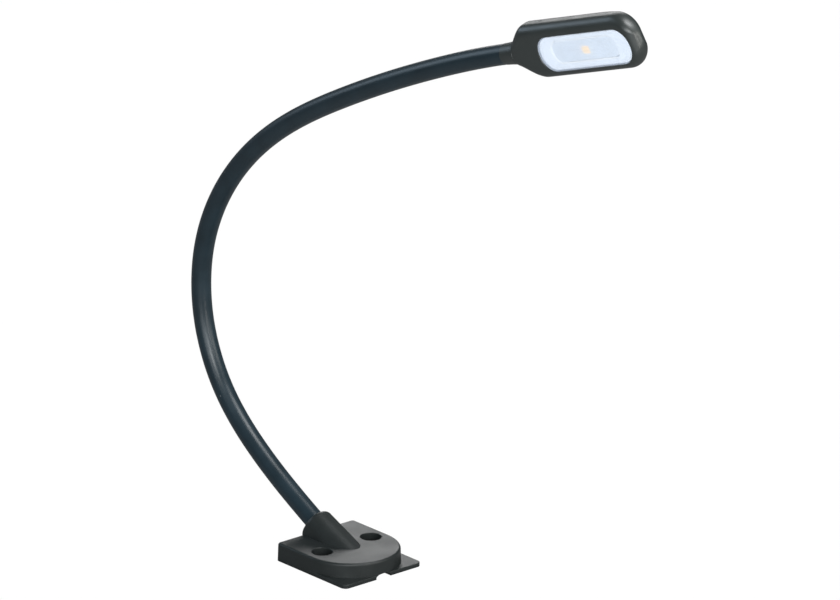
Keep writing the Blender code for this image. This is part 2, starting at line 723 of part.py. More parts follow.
def make_light_engine(tray_material, board_material, emitter_material, metal, driver_material):
    middle = (LENS_MIDDLE, 0)
    tray = prism(
        "reflector_tray", PLAN_FRAME, rounded_rectangle(61, 16.4, 7.4, 4, middle), 0.9, 2.6, tray_material
    )
    chip = EMITTER_MIDDLE
    window = EMITTER_HALF + 0.6
    cut(
        tray,
        prism("tray_hollow", PLAN_FRAME, rounded_rectangle(58.6, 14.0, 6.2, 4, middle), 1.7, 4.0),
        box("tray_window", PLAN_FRAME, (chip - window, -window, 0), (chip + window, window, 4)),
    )
    board_plan = rounded_rectangle(54, 13.6, 1.0, 2, middle)
    prism("led_board", PLAN_FRAME, board_plan, -0.5, 0.6, board_material)
    half = EMITTER_HALF
    box("led_emitter", PLAN_FRAME, (chip - half, -half, 0.9), (chip + half, half, 2.2), emitter_material)
    spreader_plan = rounded_rectangle(50, 13.0, 1.0, 2, (LENS_MIDDLE - 4, 0))
    prism("heat_spreader", PLAN_FRAME, spreader_plan, -1.7, -0.8, metal)
    driver = box("driver_board", PLAN_FRAME, (28, -6.5, -2.9), (60, 6.5, -2.0), driver_material)
    parts = [(31, -4.5, 37, 0.5), (40, -3, 44, 3), (47, 0, 51, 5), (53, -4, 57, -1)]
    for i, (a0, b0, a1, b1) in enumerate(parts):
        join(driver, box(f"driver_component_{i}", PLAN_FRAME, (a0, b0, -3.9), (a1, b1, -2.5)))


def make_head_lead(material):
    path = [(9.3, 0.0), (14.0, 0.0), (18.5, -0.5), (23.0, -1.7), (27.6, -2.4)]
    rings = []
    for i, (a, c) in enumerate(path):
        before = path[max(i - 1, 0)]
        after = path[min(i + 1, len(path) - 1)]
        along = (after[0] - before[0]) * HEAD_AXIS + (after[1] - before[1]) * HEAD_FRONT
        frame = frame_at(PLAN_FRAME @ Vector((a, 0, c)), along, HEAD_SIDE)
        rings.append(circle(frame, LEAD_RADIUS if a < 24 else 1.2, 0, 8))
    skin("head_lead", rings, material)


def main():
    clear_scene()
    black = make_material("base_plastic", (0.035, 0.037, 0.038), 0.55)
    satin = make_material("head_plastic", (0.022, 0.024, 0.025), 0.38)
    rubber = make_material("sheath_rubber", (0.018, 0.022, 0.028), 0.5)
    steel = make_material("steel", (0.55, 0.55, 0.56), 0.3, 1.0)
    brass = make_material("brass", (0.72, 0.55, 0.26), 0.3, 1.0)
    cable = make_material("lead_pvc", (0.7, 0.7, 0.68), 0.5)
    terminal = make_material("terminal_plastic", (0.75, 0.73, 0.66), 0.5)
    ring = make_material("ring_rubber", (0.02, 0.02, 0.02), 0.7)
    clear = make_material("lens_acrylic", (0.86, 0.89, 0.95), 0.12)
    white = make_material("reflector_white", (0.9, 0.9, 0.9), 0.4)
    board = make_material("board_aluminium", (0.85, 0.86, 0.86), 0.45, 0.3)
    phosphor = make_material("emitter_phosphor", (0.95, 0.72, 0.32), 0.4)
    aluminium = make_material("spreader_aluminium", (0.75, 0.76, 0.77), 0.4, 1.0)
    circuit = make_material("driver_laminate", (0.04, 0.2, 0.09), 0.45)
    make_base_housing(black)
    make_base_cover(black)
    make_base_screws(steel)
    make_terminal_block(terminal)
    make_gland(brass, steel)
    make_neck(rubber, steel, cable)
    make_collar(satin, ring, steel)
    make_head_shells(satin)
    make_head_screws(steel)
    make_lens(clear)
    make_light_engine(white, board, phosphor, aluminium, circuit)
    make_head_lead(cable)


main()
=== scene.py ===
"""The looks of a picture light on a gooseneck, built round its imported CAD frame.

Lengths are millimetres in the row's frame, and become metres when a mesh is made. The origin is the middle
of the base's underside, +X runs from the base's straight back edge to its round front, and +Z is up.
"""

import json
import math

import bmesh
import bpy
import numpy as np
from mathutils import Matrix, Vector

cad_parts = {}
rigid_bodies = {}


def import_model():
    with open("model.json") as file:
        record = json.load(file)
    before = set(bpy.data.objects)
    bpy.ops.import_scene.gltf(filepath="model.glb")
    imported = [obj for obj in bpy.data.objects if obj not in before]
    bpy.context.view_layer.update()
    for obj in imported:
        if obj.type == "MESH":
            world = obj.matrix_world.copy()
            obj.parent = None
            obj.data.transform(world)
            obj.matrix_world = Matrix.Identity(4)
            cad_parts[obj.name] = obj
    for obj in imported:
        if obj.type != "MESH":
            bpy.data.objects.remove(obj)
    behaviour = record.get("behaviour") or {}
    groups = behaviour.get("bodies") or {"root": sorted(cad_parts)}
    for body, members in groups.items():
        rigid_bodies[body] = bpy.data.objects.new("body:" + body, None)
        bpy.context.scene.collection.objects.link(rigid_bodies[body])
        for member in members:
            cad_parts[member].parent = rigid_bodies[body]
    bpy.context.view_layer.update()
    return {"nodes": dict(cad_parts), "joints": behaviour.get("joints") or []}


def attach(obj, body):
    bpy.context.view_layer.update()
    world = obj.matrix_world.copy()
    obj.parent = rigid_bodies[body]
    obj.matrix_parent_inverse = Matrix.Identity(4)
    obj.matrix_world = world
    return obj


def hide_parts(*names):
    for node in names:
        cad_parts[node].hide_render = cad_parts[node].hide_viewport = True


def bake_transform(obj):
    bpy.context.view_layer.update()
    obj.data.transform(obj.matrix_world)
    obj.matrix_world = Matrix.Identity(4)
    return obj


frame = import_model()

MM = 0.001
GAP = 0.3
FACET_ANGLE = 30

# The camera: its direction and roll in degrees, its distance from the base's origin in metres, its lens in
# millimetres, and the point that it looks at, in metres to the right of the origin and above it
CAMERA_AZIMUTH = 49.12
CAMERA_ELEVATION = 21.40
CAMERA_ROLL = 0.32
CAMERA_DISTANCE = 3.867
CAMERA_LENS = 337.4
CAMERA_SENSOR = 36.0
CAMERA_REACH = 100.0
AIM_RIGHT = 0.0347
AIM_UP = 0.1292

# The studio: the world's colour and strength, the white beyond the floor, how clear the paper floor is to the
# camera, and how far the floor reaches in metres
WORLD_COLOUR = (0.88, 0.95, 1.0)
WORLD_STRENGTH = 0.14
WHITE_STRENGTH = 1.03
FLOOR_CLEAR = 0.97
FLOOR_REACH = 9

# Each light: its place and the point that it faces, its width and height, its power in watts and its colour
LIGHTS = {
    "overhead": ((0.6, 0.3, 1.8), (0.0, 0.0, 0.1), (0.9, 0.9), 26, (0.97, 0.99, 1.0)),
    "camera_side": ((1.9, -1.6, 1.0), (0.0, 0.0, 0.2), (0.7, 0.7), 34, (0.97, 1.0, 1.0)),
    "far_side": ((-1.5, 1.3, 0.85), (0.0, 0.0, 0.05), (0.8, 0.7), 6.5, (1.0, 1.0, 1.0)),
    "front": ((1.05, -2.16, 0.4), (0.0, 0.0, 0.2), (1.3, 0.9), 18, (0.92, 0.97, 1.0)),
    "right": ((2.0, 0.9, 0.9), (0.0, 0.0, 0.1), (0.9, 0.9), 14, (1.0, 1.0, 0.95)),
    "strip": ((2.39, -0.25, 0.5), (0.0, 0.0, 0.15), (0.2, 1.2), 16, (1.0, 0.98, 0.95)),
    "left": ((-2.1, -0.8, 1.0), (0.1, 0.0, 0.3), (1.2, 0.9), 8, (0.68, 0.84, 1.0)),
}

# Base
BASE_LENGTH = 51.4
BASE_WIDTH = 50.0
BASE_HEIGHT = 9.3
BACK_X = -BASE_LENGTH / 2 - 0.6
ARC_CENTRE_X = BASE_LENGTH / 2 - BASE_WIDTH / 2
DRAFT = 0.03
TOP_FILLET = 1.2
BACK_CORNER_RADIUS = 2.2
LEAST_CORNER = 0.4
FLANGE_LENGTH = 45.0
FLANGE_THICKNESS = 2.0
FLANGE_CORNER_RADIUS = 3.0
FLANGE_EDGE_RADIUS = 0.35
WALL = 2.2
COVER_LEDGE = 0.6
CEILING_Z = 7.3
COVER_THICKNESS = 1.2
HOLE_X = -2.2
HOLE_Y = 15.75
COUNTERBORE_RADIUS = 5.3
SEAT_Z = 4.3
THROUGH_RADIUS = 3.0
HOLE_CHAMFER = 0.2
PILLAR_RADIUS = 7.2
PILLAR_REACH = 8.5
NOTCH_WIDTH = 9.2
NOTCH_HEIGHT = 2.3
NOTCH_FOOT = 0.9
NOTCH_START_X = 17.0
POST_RADIUS = 2.6
PILOT_RADIUS = 1.3
PILOT_TOP = 6
COVER_SCREWS = {"left": (-19.5, -19.0), "right": (-19.5, 19.0)}
# Screws: head radius, head height, shank radius and length
BASE_SCREW = (1.8, 0.45, 0.95, 5.2)
HEAD_SCREW = (1.7, 0.6, 0.9, 6.5)
BASE_SCREW_Z = 0.15
THREAD_PITCH = 0.8
SINK_RADIUS = 2.2
SINK_DEPTH = 0.7
SOCKET_BLOCK_FRONT_X = -16.5
SOCKET_BLOCK_HALF_WIDTH = 8.5
GLAND_ROOM_RADIUS = 7.1
GLAND_ROOM_REACH = (-6.0, 10.0)
BORE_REACH = (5.0, 40.0)
SOCKET_FOOT_FILLET = 0.7
SOCKET_FOOT_TURN = 12

# Socket: an oval cone round the neck's first stretch
SOCKET_CENTRE = Vector((-8.0, 0.0, 5.3))
SOCKET_PITCH = 28.0
SOCKET_START = 19.6
SOCKET_LENGTH = 40.0
SOCKET_RADIUS = 7.8
SOCKET_RISE = 0.080
SOCKET_SPREAD = 0.045
SOCKET_SKIRT = 0.12
SOCKET_FLUSH = 0.05
SOCKET_SIDES = 96
MOUTH_ROUND = 2.2
MOUTH_DROP = 1.6

# Neck
SHEATH_RADIUS = 5.0
SHEATH_BORE = 3.9
SHEATH_START = 10.4
SOCKET_MOUTH = 22.5
HOSE_RADIUS = 3.6
HOSE_BORE = 2.4
HOSE_GROOVE = 0.35
HOSE_PITCH = 3.0
HOSE_OVERLAP = 9.4
LEAD_RADIUS = 1.6
COLLAR_LENGTH = 10.0
COLLAR_GRIP = 0.8
HOSE_END = -2.2
BORE_RADIUS = SHEATH_RADIUS + GAP
# This bend's piece lists its two ends from its upper body
BLENDED_DOWNWARDS = {"neck_bend_05"}

# Head: a is the distance along the head from its swivel seam, b its width and c its depth, +c to the front
HEAD_LENGTH = 92.3
HEAD_HALF_WIDTHS = {1: 14.2, -1: 13.2}
HEAD_FRONT_DEPTH = 6.0
HEAD_BACK_DEPTH = 7.8
HEAD_SCREW_DEPTH = 0.6
NECK_END_RADIUS = 5.8
FLARE_START = 1.0
FLARE_LENGTHS = {1: 15.0, -1: 20.0}
FLARE_END = 24.0
SWELL_LENGTH = 15.0
FRONT_EDGE_RADIUS = 5.0
BACK_EDGE_RADIUS = 6.5
PLAN_CORNER_RADIUS = 12.8
BACK_SLOPE_LENGTH = 26.0
TIP_EDGE_DEPTH = 0.8
LEAST_DEPTH = 0.4
HEAD_WALL = 1.6
CAVITY_START = 22.0
PARTING_DEPTH = -2.2
COVER_START = 14.0
# The seam and the collar as they are seen, ahead of the swivel's centre
SEAM_AHEAD = 4.4
SEAM_GAP = 0.15
SEAM_ROUND = 0.35
SPIGOT_RADIUS = 3.6
SPIGOT_END = 8.4
CLIP_GROOVE = (6.1, 7.5)
CLIP_GROOVE_RADIUS = 2.7
LEAD_HOLE_RADIUS = 1.95
CLIP_CHAMBER_RADIUS = 4.9
CLIP_CHAMBER_START = 6.0
LENS_MIDDLE = 55.9
LENS_LOW = -0.7
LENS_LENGTH = 64.2
LENS_WIDTH = 17.75
LENS_CORNER = 8.4
LENS_LIP = 0.8
LENS_BACK = 2.9
LENS_STEP = 4.05
LENS_CLEARANCE = 0.15
LENS_FACE = HEAD_FRONT_DEPTH - LENS_CLEARANCE
LENS_EDGE_RADIUS = 0.3
LENS_THICKNESS = 0.8
LENS_WALL = 0.4
TRAY_HOLLOW_LENGTH = 46.8
TRAY_HOLLOW_WIDTH = 12.3
TRAY_HOLLOW_CORNER = 5.0
TRAY_MIDDLE = (LENS_MIDDLE - 0.3, LENS_LOW + 0.3)
TRAY_BACK = 2.7
TRAY_STEP = 0.3
TRAY_GROOVE = 0.9
EMITTER_MIDDLE = LENS_MIDDLE - 0.2
EMITTER_LENGTH = 4.5
EMITTER_WIDTH = 3.2
EMITTER_BACK = 2.8
EMITTER_CLEARANCE = 0.35
COVER_SCREW_A = 17.5
COVER_SCREW_B = 7.2
REAR_SINK_RADIUS = 2.1
REAR_SINK_DEPTH = 1.3
REAR_PILOT_RADIUS = 1.25
REAR_PILOT_DEPTH = 8.3

WORLD_FRAME = Matrix.Identity(4)


# Shapes


def mesh_object(name, points, faces, material=None):
    """A closed mesh from millimetre points, with its faces turned outwards."""
    mesh = bpy.data.meshes.new(name)
    mesh.from_pydata([tuple(float(v) * MM for v in p) for p in points], [], faces)
    bm = bmesh.new()
    bm.from_mesh(mesh)
    bmesh.ops.recalc_face_normals(bm, faces=bm.faces)
    bm.to_mesh(mesh)
    bm.free()
    mesh.shade_smooth()
    mesh.set_sharp_from_angle(angle=math.radians(FACET_ANGLE))
    obj = bpy.data.objects.new(name, mesh)
    bpy.context.scene.collection.objects.link(obj)
    if material:
        obj.data.materials.append(material)
    return obj


def boolean(target, other, operation):
    modifier = target.modifiers.new(operation.title(), "BOOLEAN")
    modifier.operation = operation
    modifier.solver = "EXACT"
    modifier.object = other
    other.hide_render = True
    other["is_helper"] = True
    return target


def cut(target, *cutters):
    for cutter in cutters:
        boolean(target, cutter, "DIFFERENCE")
    return target


def join(target, *others):
    for other in others:
        boolean(target, other, "UNION")
    return target


def keep(target, other):
    return boolean(target, other, "INTERSECT")


def baked(obj):
    """The object with its modifiers applied."""
    bpy.context.view_layer.update()
    depsgraph = bpy.context.evaluated_depsgraph_get()
    mesh = bpy.data.meshes.new_from_object(obj.evaluated_get(depsgraph), depsgraph=depsgraph)
    obj.modifiers.clear()
    obj.data = mesh
    return obj


def settled(obj):
    """The object baked, with its flat faces shaded flat where they meet rounded ones."""
    baked(obj)
    obj.data.shade_smooth()
    obj.data.set_sharp_from_angle(angle=math.radians(FACET_ANGLE))
    weighted = obj.modifiers.new("Weighted", "WEIGHTED_NORMAL")
    weighted.keep_sharp = True
    return baked(obj)


def remove_helpers():
    for obj in list(bpy.data.objects):
        if obj.get("is_helper"):
            bpy.data.objects.remove(obj)


def skin(name, rings, material=None, hollow=False):
    """A closed surface through rings of equal point count. A hollow one joins its last ring to its first."""
    count = len(rings[0])
    points = [p for ring in rings for p in ring]
    faces = []
    spans = len(rings) if hollow else len(rings) - 1
    for i in range(spans):
        low = i * count
        high = (i + 1) % len(rings) * count
        for k in range(count):
            m = (k + 1) % count
            faces.append((low + k, low + m, high + m, high + k))
    if not hollow:
        faces.append(tuple(range(count)))
        faces.append(tuple(range(len(points) - count, len(points))))
    return mesh_object(name, points, faces, material)


def circle(place, radius, along, sides):
    """Points round a frame's Z axis, a distance along it."""
    angles = [2 * math.pi * (k + 0.5) / sides for k in range(sides)]
    return [place @ Vector((radius * math.cos(t), radius * math.sin(t), along)) for t in angles]


def turned(name, place, profile, sides, material=None):
    """A ring turned about a frame's Z axis from a closed outline of (radius, along) points."""
    return skin(name, [circle(place, r, z, sides) for r, z in profile], material, hollow=True)


def rod(name, place, profile, sides, material=None):
    """A solid turned about a frame's Z axis, from (radius, along) points."""
    return skin(name, [circle(place, r, z, sides) for r, z in profile], material)


def prism(name, place, outline, low, high, material=None):
    """An outline of (x, y) points in a frame, extruded along the frame's Z axis."""
    rings = [[place @ Vector((x, y, z)) for x, y in outline] for z in (low, high)]
    return skin(name, rings, material)


def box(name, place, low, high, material=None):
    outline = [(low[0], low[1]), (high[0], low[1]), (high[0], high[1]), (low[0], high[1])]
    return prism(name, place, outline, low[2], high[2], material)


def stack(name, place, layers, material=None):
    """A solid through flat outlines of equal point count, each with its distance along the frame's Z axis."""
    rings = [[place @ Vector((x, y, z)) for x, y in outline] for outline, z in layers]
    return skin(name, rings, material)


def rounded_rectangle(length, width, radius, steps=12, middle=(0.0, 0.0)):
    radius = min(radius, length / 2 - 0.01, width / 2 - 0.01)
    outline = []
    corners = [(1, 1, 0), (-1, 1, 90), (-1, -1, 180), (1, -1, 270)]
    for sx, sy, start in corners:
        cx = middle[0] + sx * (length / 2 - radius)
        cy = middle[1] + sy * (width / 2 - radius)
        for k in range(steps + 1):
            t = math.radians(start + 90 * k / steps)
            outline.append((cx + radius * math.cos(t), cy + radius * math.sin(t)))
    return outline


def quarter_round(radius, steps):
    """(inward, up) offsets from the start to the end of a rounded edge."""
    angles = [math.pi / 2 * k / steps for k in range(1, steps + 1)]
    return [(radius * (1 - math.cos(t)), radius * math.sin(t)) for t in angles]


def smoothstep(t):
    t = min(max(t, 0.0), 1.0)
    return t * t * (3 - 2 * t)


def frame_at(point, along, side=Vector((0, 1, 0))):
    """A frame with Z along the given direction and X along the side."""
    z = Vector(along).normalized()
    x = (side - side.dot(z) * z).normalized()
    y = z.cross(x)
    place = Matrix((x, y, z)).transposed().to_4x4()
    place.translation = Vector(point)
    return place


# The neck's line and the head's frame, from the frame's joints


def smooth_curve(knots, start_direction, end_direction, step=0.25):
    """Points of the cubic spline through the given points, with set directions at its two ends."""
    chord = np.linalg.norm(np.diff(knots, axis=0), axis=1)
    count = len(knots)
    system = np.zeros((count, count))
    right = np.zeros((count, 3))
    system[0, 0] = system[-1, -1] = 1
    right[0] = start_direction
    right[-1] = end_direction
    for i in range(1, count - 1):
        before, after = chord[i - 1], chord[i]
        system[i, i - 1 : i + 2] = 1 / before, 2 / before + 2 / after, 1 / after
        rise = (knots[i] - knots[i - 1]) / before**2 + (knots[i + 1] - knots[i]) / after**2
        right[i] = 3 * rise
    tangent = np.linalg.solve(system, right)
    curve = []
    for i in range(count - 1):
        t = np.linspace(0, 1, int(chord[i] / step), endpoint=False)[:, None]
        curve.append(
            (2 * t**3 - 3 * t**2 + 1) * knots[i]
            + (t**3 - 2 * t**2 + t) * chord[i] * tangent[i]
            + (3 * t**2 - 2 * t**3) * knots[i + 1]
            + (t**3 - t**2) * chord[i] * tangent[i + 1]
        )
    return np.vstack(curve + [knots[-1:]])


JOINTS = {joint["name"]: joint for joint in frame["joints"]}
SWIVEL = JOINTS["head_swivel"]
BENDS = [JOINTS[name] for name in sorted(JOINTS) if name.startswith("neck_bend")]
PIVOTS = [Vector(joint["pos_m"]) / MM for joint in BENDS]
SEAM = Vector(SWIVEL["pos_m"]) / MM
HEAD_AXIS = Vector(SWIVEL["axis"]).normalized()
SOCKET_AXIS = Vector((-math.cos(math.radians(SOCKET_PITCH)), 0, math.sin(math.radians(SOCKET_PITCH))))
CURVE = smooth_curve(np.array([SOCKET_CENTRE, *PIVOTS, SEAM]), SOCKET_AXIS, HEAD_AXIS)
CURVE_ARC = np.concatenate([[0], np.cumsum(np.linalg.norm(np.diff(CURVE, axis=0), axis=1))])
NECK_LENGTH = float(CURVE_ARC[-1])


def neck_point(arc):
    inside = min(max(arc, 0.0), NECK_LENGTH)
    return Vector([float(np.interp(inside, CURVE_ARC, CURVE[:, i])) for i in range(3)])


def neck_frame(arc):
    """The neck's frame a distance along its line, with Z towards the head."""
    return frame_at(neck_point(arc), neck_point(arc + 1.0) - neck_point(arc - 1.0))


def arc_of(point):
    return float(CURVE_ARC[np.argmin(np.linalg.norm(CURVE - np.array(point), axis=1))])


SOCKET_FRAME = frame_at(SOCKET_CENTRE, SOCKET_AXIS)
COLLAR_FRAME = frame_at(SEAM, HEAD_AXIS)
# The lens faces straight down in the middle of the swivel's range
LENS_DOWN = math.radians(sum(SWIVEL["range_deg"]) / 2)
DOWN = (Vector((0, 0, -1)) + HEAD_AXIS.z * HEAD_AXIS).normalized()
HEAD_FRONT = Matrix.Rotation(-LENS_DOWN, 3, HEAD_AXIS) @ DOWN
HEAD_SIDE = HEAD_FRONT.cross(HEAD_AXIS)
PLAN_FRAME = Matrix((HEAD_AXIS, HEAD_SIDE, HEAD_FRONT)).transposed().to_4x4()
PLAN_FRAME.translation = SEAM


# Materials. Patterns are sized in millimetres, and a dust is its colour, dot size, spacing and share of cells

ACRYLIC_TINT = (0.80, 0.87, 1.0)
ACRYLIC_CLEAR = (0.97, 0.985, 1.0)
ACRYLIC_HAZE = 0.35


def link(tree, source, socket):
    tree.links.new(source, socket)


def coordinates(tree, rest):
    """Where a material's patterns lie: in the row's frame at rest, in metres."""
    if rest:
        node = tree.nodes.new("ShaderNodeAttribute")
        node.attribute_name = "rest"
        return node.outputs["Vector"]
    return tree.nodes.new("ShaderNodeTexCoord").outputs["Object"]


def noise(tree, place, size, detail=2.0, roughness=0.5):
    """A noise whose features are about the given size, in millimetres."""
    node = tree.nodes.new("ShaderNodeTexNoise")
    node.inputs["Scale"].default_value = 1 / (size * MM)
    node.inputs["Detail"].default_value = detail
    node.inputs["Roughness"].default_value = roughness
    link(tree, place, node.inputs["Vector"])
    return node.outputs["Fac"]


def spread(tree, value, low, high):
    """Takes a value of 0 to 1 to the range low to high."""
    node = tree.nodes.new("ShaderNodeMapRange")
    node.inputs["From Min"].default_value = 0.25
    node.inputs["From Max"].default_value = 0.75
    node.inputs["To Min"].default_value = low
    node.inputs["To Max"].default_value = high
    link(tree, value, node.inputs["Value"])
    return node.outputs["Result"]


def mixed(tree, factor, first, second):
    """A blend of two colours, each a colour or a socket."""
    node = tree.nodes.new("ShaderNodeMix")
    node.data_type = "RGBA"
    link(tree, factor, node.inputs["Factor"])
    for value, socket in ((first, node.inputs["A"]), (second, node.inputs["B"])):
        if isinstance(value, tuple):
            socket.default_value = (*value, 1.0)
        else:
            link(tree, value, socket)
    return node.outputs["Result"]


def shade(colour, factor):
    return tuple(c * factor for c in colour)


def specks(tree, place, size, spacing, share):
    """1 on scattered dots of the given size, and 0 elsewhere. Only a share of the cells holds one."""
    cells = tree.nodes.new("ShaderNodeTexVoronoi")
    cells.inputs["Scale"].default_value = 1 / (spacing * MM)
    link(tree, place, cells.inputs["Vector"])
    near = tree.nodes.new("ShaderNodeMath")
    near.operation = "LESS_THAN"
    near.inputs[1].default_value = size / spacing / 2
    link(tree, cells.outputs["Distance"], near.inputs[0])
    split = tree.nodes.new("ShaderNodeSeparateColor")
    link(tree, cells.outputs["Color"], split.inputs["Color"])
    chosen = tree.nodes.new("ShaderNodeMath")
    chosen.operation = "LESS_THAN"
    chosen.inputs[1].default_value = share
    link(tree, split.outputs["Red"], chosen.inputs[0])
    both = tree.nodes.new("ShaderNodeMath")
    both.operation = "MULTIPLY"
    link(tree, near.outputs["Value"], both.inputs[0])
    link(tree, chosen.outputs["Value"], both.inputs[1])
    return both.outputs["Value"]


def finish_material(
    name, colour, roughness, grain=0.3, depth=0.01, drift=0.15, drift_size=12.0,
    metallic=0.0, specular=0.5, dust=None, rest=False,
):
    """A surface with slow drift in colour and gloss, fine grain in its relief, and dust where it is given."""
    material = bpy.data.materials.new(name)
    material.use_nodes = True
    tree = material.node_tree
    shader = tree.nodes["Principled BSDF"]
    place = coordinates(tree, rest)
    slow = noise(tree, place, drift_size, 3.0)
    tint = mixed(tree, spread(tree, slow, 0.0, 1.0), shade(colour, 1 - drift), shade(colour, 1 + drift))
    if dust:
        dust_colour, size, spacing, share = dust
        tint = mixed(tree, specks(tree, place, size, spacing, share), tint, dust_colour)
    link(tree, tint, shader.inputs["Base Color"])
    link(tree, spread(tree, slow, roughness * 0.9, roughness * 1.1), shader.inputs["Roughness"])
    shader.inputs["Metallic"].default_value = metallic
    shader.inputs["Specular IOR Level"].default_value = specular
    bump = tree.nodes.new("ShaderNodeBump")
    bump.inputs["Distance"].default_value = depth * MM
    link(tree, noise(tree, place, grain), bump.inputs["Height"])
    link(tree, bump.outputs["Normal"], shader.inputs["Normal"])
    return material


def make_clear_acrylic():
    """The lens: mostly clear, with a faint blue tint of its own and a polished face."""
    material = finish_material("lens_acrylic", ACRYLIC_TINT, 0.08, grain=9.0, depth=0.01, drift=0.03)
    tree = material.node_tree
    shader = tree.nodes["Principled BSDF"]
    output = tree.nodes["Material Output"]
    clear = tree.nodes.new("ShaderNodeBsdfTransparent")
    clear.inputs["Color"].default_value = (*ACRYLIC_CLEAR, 1.0)
    both = tree.nodes.new("ShaderNodeMixShader")
    both.inputs["Fac"].default_value = ACRYLIC_HAZE
    link(tree, clear.outputs["BSDF"], both.inputs[1])
    link(tree, shader.outputs["BSDF"], both.inputs[2])
    link(tree, both.outputs["Shader"], output.inputs["Surface"])
    return material


def glow(material, colour, strength):
    """Lights a material from within, which stands in for the LED's light in the tray."""
    shader = material.node_tree.nodes["Principled BSDF"]
    shader.inputs["Emission Color"].default_value = (*colour, 1.0)
    shader.inputs["Emission Strength"].default_value = strength
    return material


BASE_PLASTIC = finish_material(
    "base_plastic", (0.013, 0.016, 0.016), 0.42, grain=0.35, depth=0.010, drift=0.10, specular=0.38,
    dust=((0.10, 0.10, 0.10), 0.2, 2.5, 0.15),
)
HEAD_PLASTIC = finish_material(
    "head_plastic", (0.021, 0.026, 0.025), 0.40, grain=0.25, depth=0.004, drift=0.10, specular=0.75,
)
SHEATH_RUBBER = finish_material(
    "sheath_rubber", (0.011, 0.022, 0.030), 0.34, grain=0.5, depth=0.005, drift=0.2, specular=0.42,
    dust=((0.30, 0.31, 0.32), 0.5, 3.0, 0.05), rest=True,
)
STEEL = finish_material("steel", (0.55, 0.55, 0.56), 0.3, grain=0.6, depth=0.01, metallic=1.0)
HOSE_STEEL = finish_material(
    "hose_steel", (0.50, 0.50, 0.51), 0.34, grain=0.6, depth=0.01, metallic=1.0, rest=True
)
BRASS = finish_material("brass", (0.72, 0.55, 0.26), 0.3, grain=0.5, depth=0.01, metallic=1.0)
LEAD_PVC = finish_material("lead_pvc", (0.7, 0.7, 0.68), 0.5, grain=0.5, depth=0.01, drift=0.05, rest=True)
HEAD_LEAD_PVC = finish_material("head_lead_pvc", (0.7, 0.7, 0.68), 0.5, grain=0.5, depth=0.01, drift=0.05)
TERMINAL = finish_material("terminal_plastic", (0.75, 0.73, 0.66), 0.5, grain=0.4, depth=0.01, drift=0.04)
RING_RUBBER = finish_material("ring_rubber", (0.02, 0.02, 0.02), 0.7, grain=0.4, depth=0.02)
REFLECTOR = finish_material("reflector_white", (0.92, 0.92, 0.92), 0.4, grain=0.6, depth=0.004, drift=0.02)
# The tray's floor is the border's white made darker and given a weaker glow: painted shade on the floor
# inside the border.
REFLECTOR_FLOOR_SHADED = finish_material(
    "reflector_floor", (0.80, 0.83, 0.84), 0.4, grain=0.6, depth=0.004, drift=0.02
)
BOARD = finish_material("board_white", (0.85, 0.86, 0.86), 0.45, grain=0.5, depth=0.005, drift=0.03)
PHOSPHOR = finish_material("emitter_phosphor", (0.95, 0.62, 0.22), 0.4, grain=0.4, depth=0.01, drift=0.05)
SPREADER = finish_material("spreader_aluminium", (0.75, 0.76, 0.77), 0.4, grain=0.8, depth=0.01, metallic=1.0)
LAMINATE = finish_material("driver_laminate", (0.04, 0.2, 0.09), 0.45, grain=0.5, depth=0.01)
ACRYLIC = make_clear_acrylic()

# Painted light: the tray's border and floor glow from within as if lit by the LED, though they are no lamp.
# The phosphor's glow is the LED itself.
PAINTED_LED_LIGHT = (1.0, 0.97, 0.92)
glow(REFLECTOR, PAINTED_LED_LIGHT, 0.40)
glow(REFLECTOR_FLOOR_SHADED, PAINTED_LED_LIGHT, 0.32)
glow(PHOSPHOR, (1.0, 0.70, 0.36), 0.72)


def place_piece(obj, body, slot, *nodes):
    """Makes a finished piece ride on a body, in place of the CAD nodes that it stands for."""
    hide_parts(*nodes)
    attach(obj, body)
    return obj


# Base


def d_outline(inset, back_radius=BACK_CORNER_RADIUS, arc_steps=72, corner_steps=8):
    """The base's plan: a straight back with small corners and a half-round front, moved in by an inset."""
    half = BASE_WIDTH / 2 - inset
    back = BACK_X + inset
    outline = []
    for k in range(arc_steps + 1):
        t = math.pi * (k / arc_steps - 0.5)
        outline.append((ARC_CENTRE_X + half * math.cos(t), half * math.sin(t)))
    radius = max(back_radius - inset, LEAST_CORNER)
    for side, start in ((1, 90), (-1, 180)):
        for k in range(corner_steps + 1):
            t = math.radians(start + 90 * k / corner_steps)
            x = back + radius + radius * math.cos(t)
            y = side * (half - radius) + radius * math.sin(t)
            outline.append((x, y))
    return outline


def make_body_block(material):
    """The drafted D-shaped block with a rounded top edge, run on below the underside."""
    top = BASE_HEIGHT - TOP_FILLET
    inset = DRAFT * top
    # Levels just above the flange and the cable notch keep those cuts out of the tall faces' shading
    levels = [0.0, FLANGE_THICKNESS + 0.1, NOTCH_HEIGHT + 0.1, NOTCH_HEIGHT + 0.6, top - 0.5, top]
    wall = [(0.0, -2.0)] + [(DRAFT * z, z) for z in levels]
    wall += [(inset + inward, top + up) for inward, up in quarter_round(TOP_FILLET, 8)]
    return stack("base_housing_fine", WORLD_FRAME, [(d_outline(i), z) for i, z in wall], material)


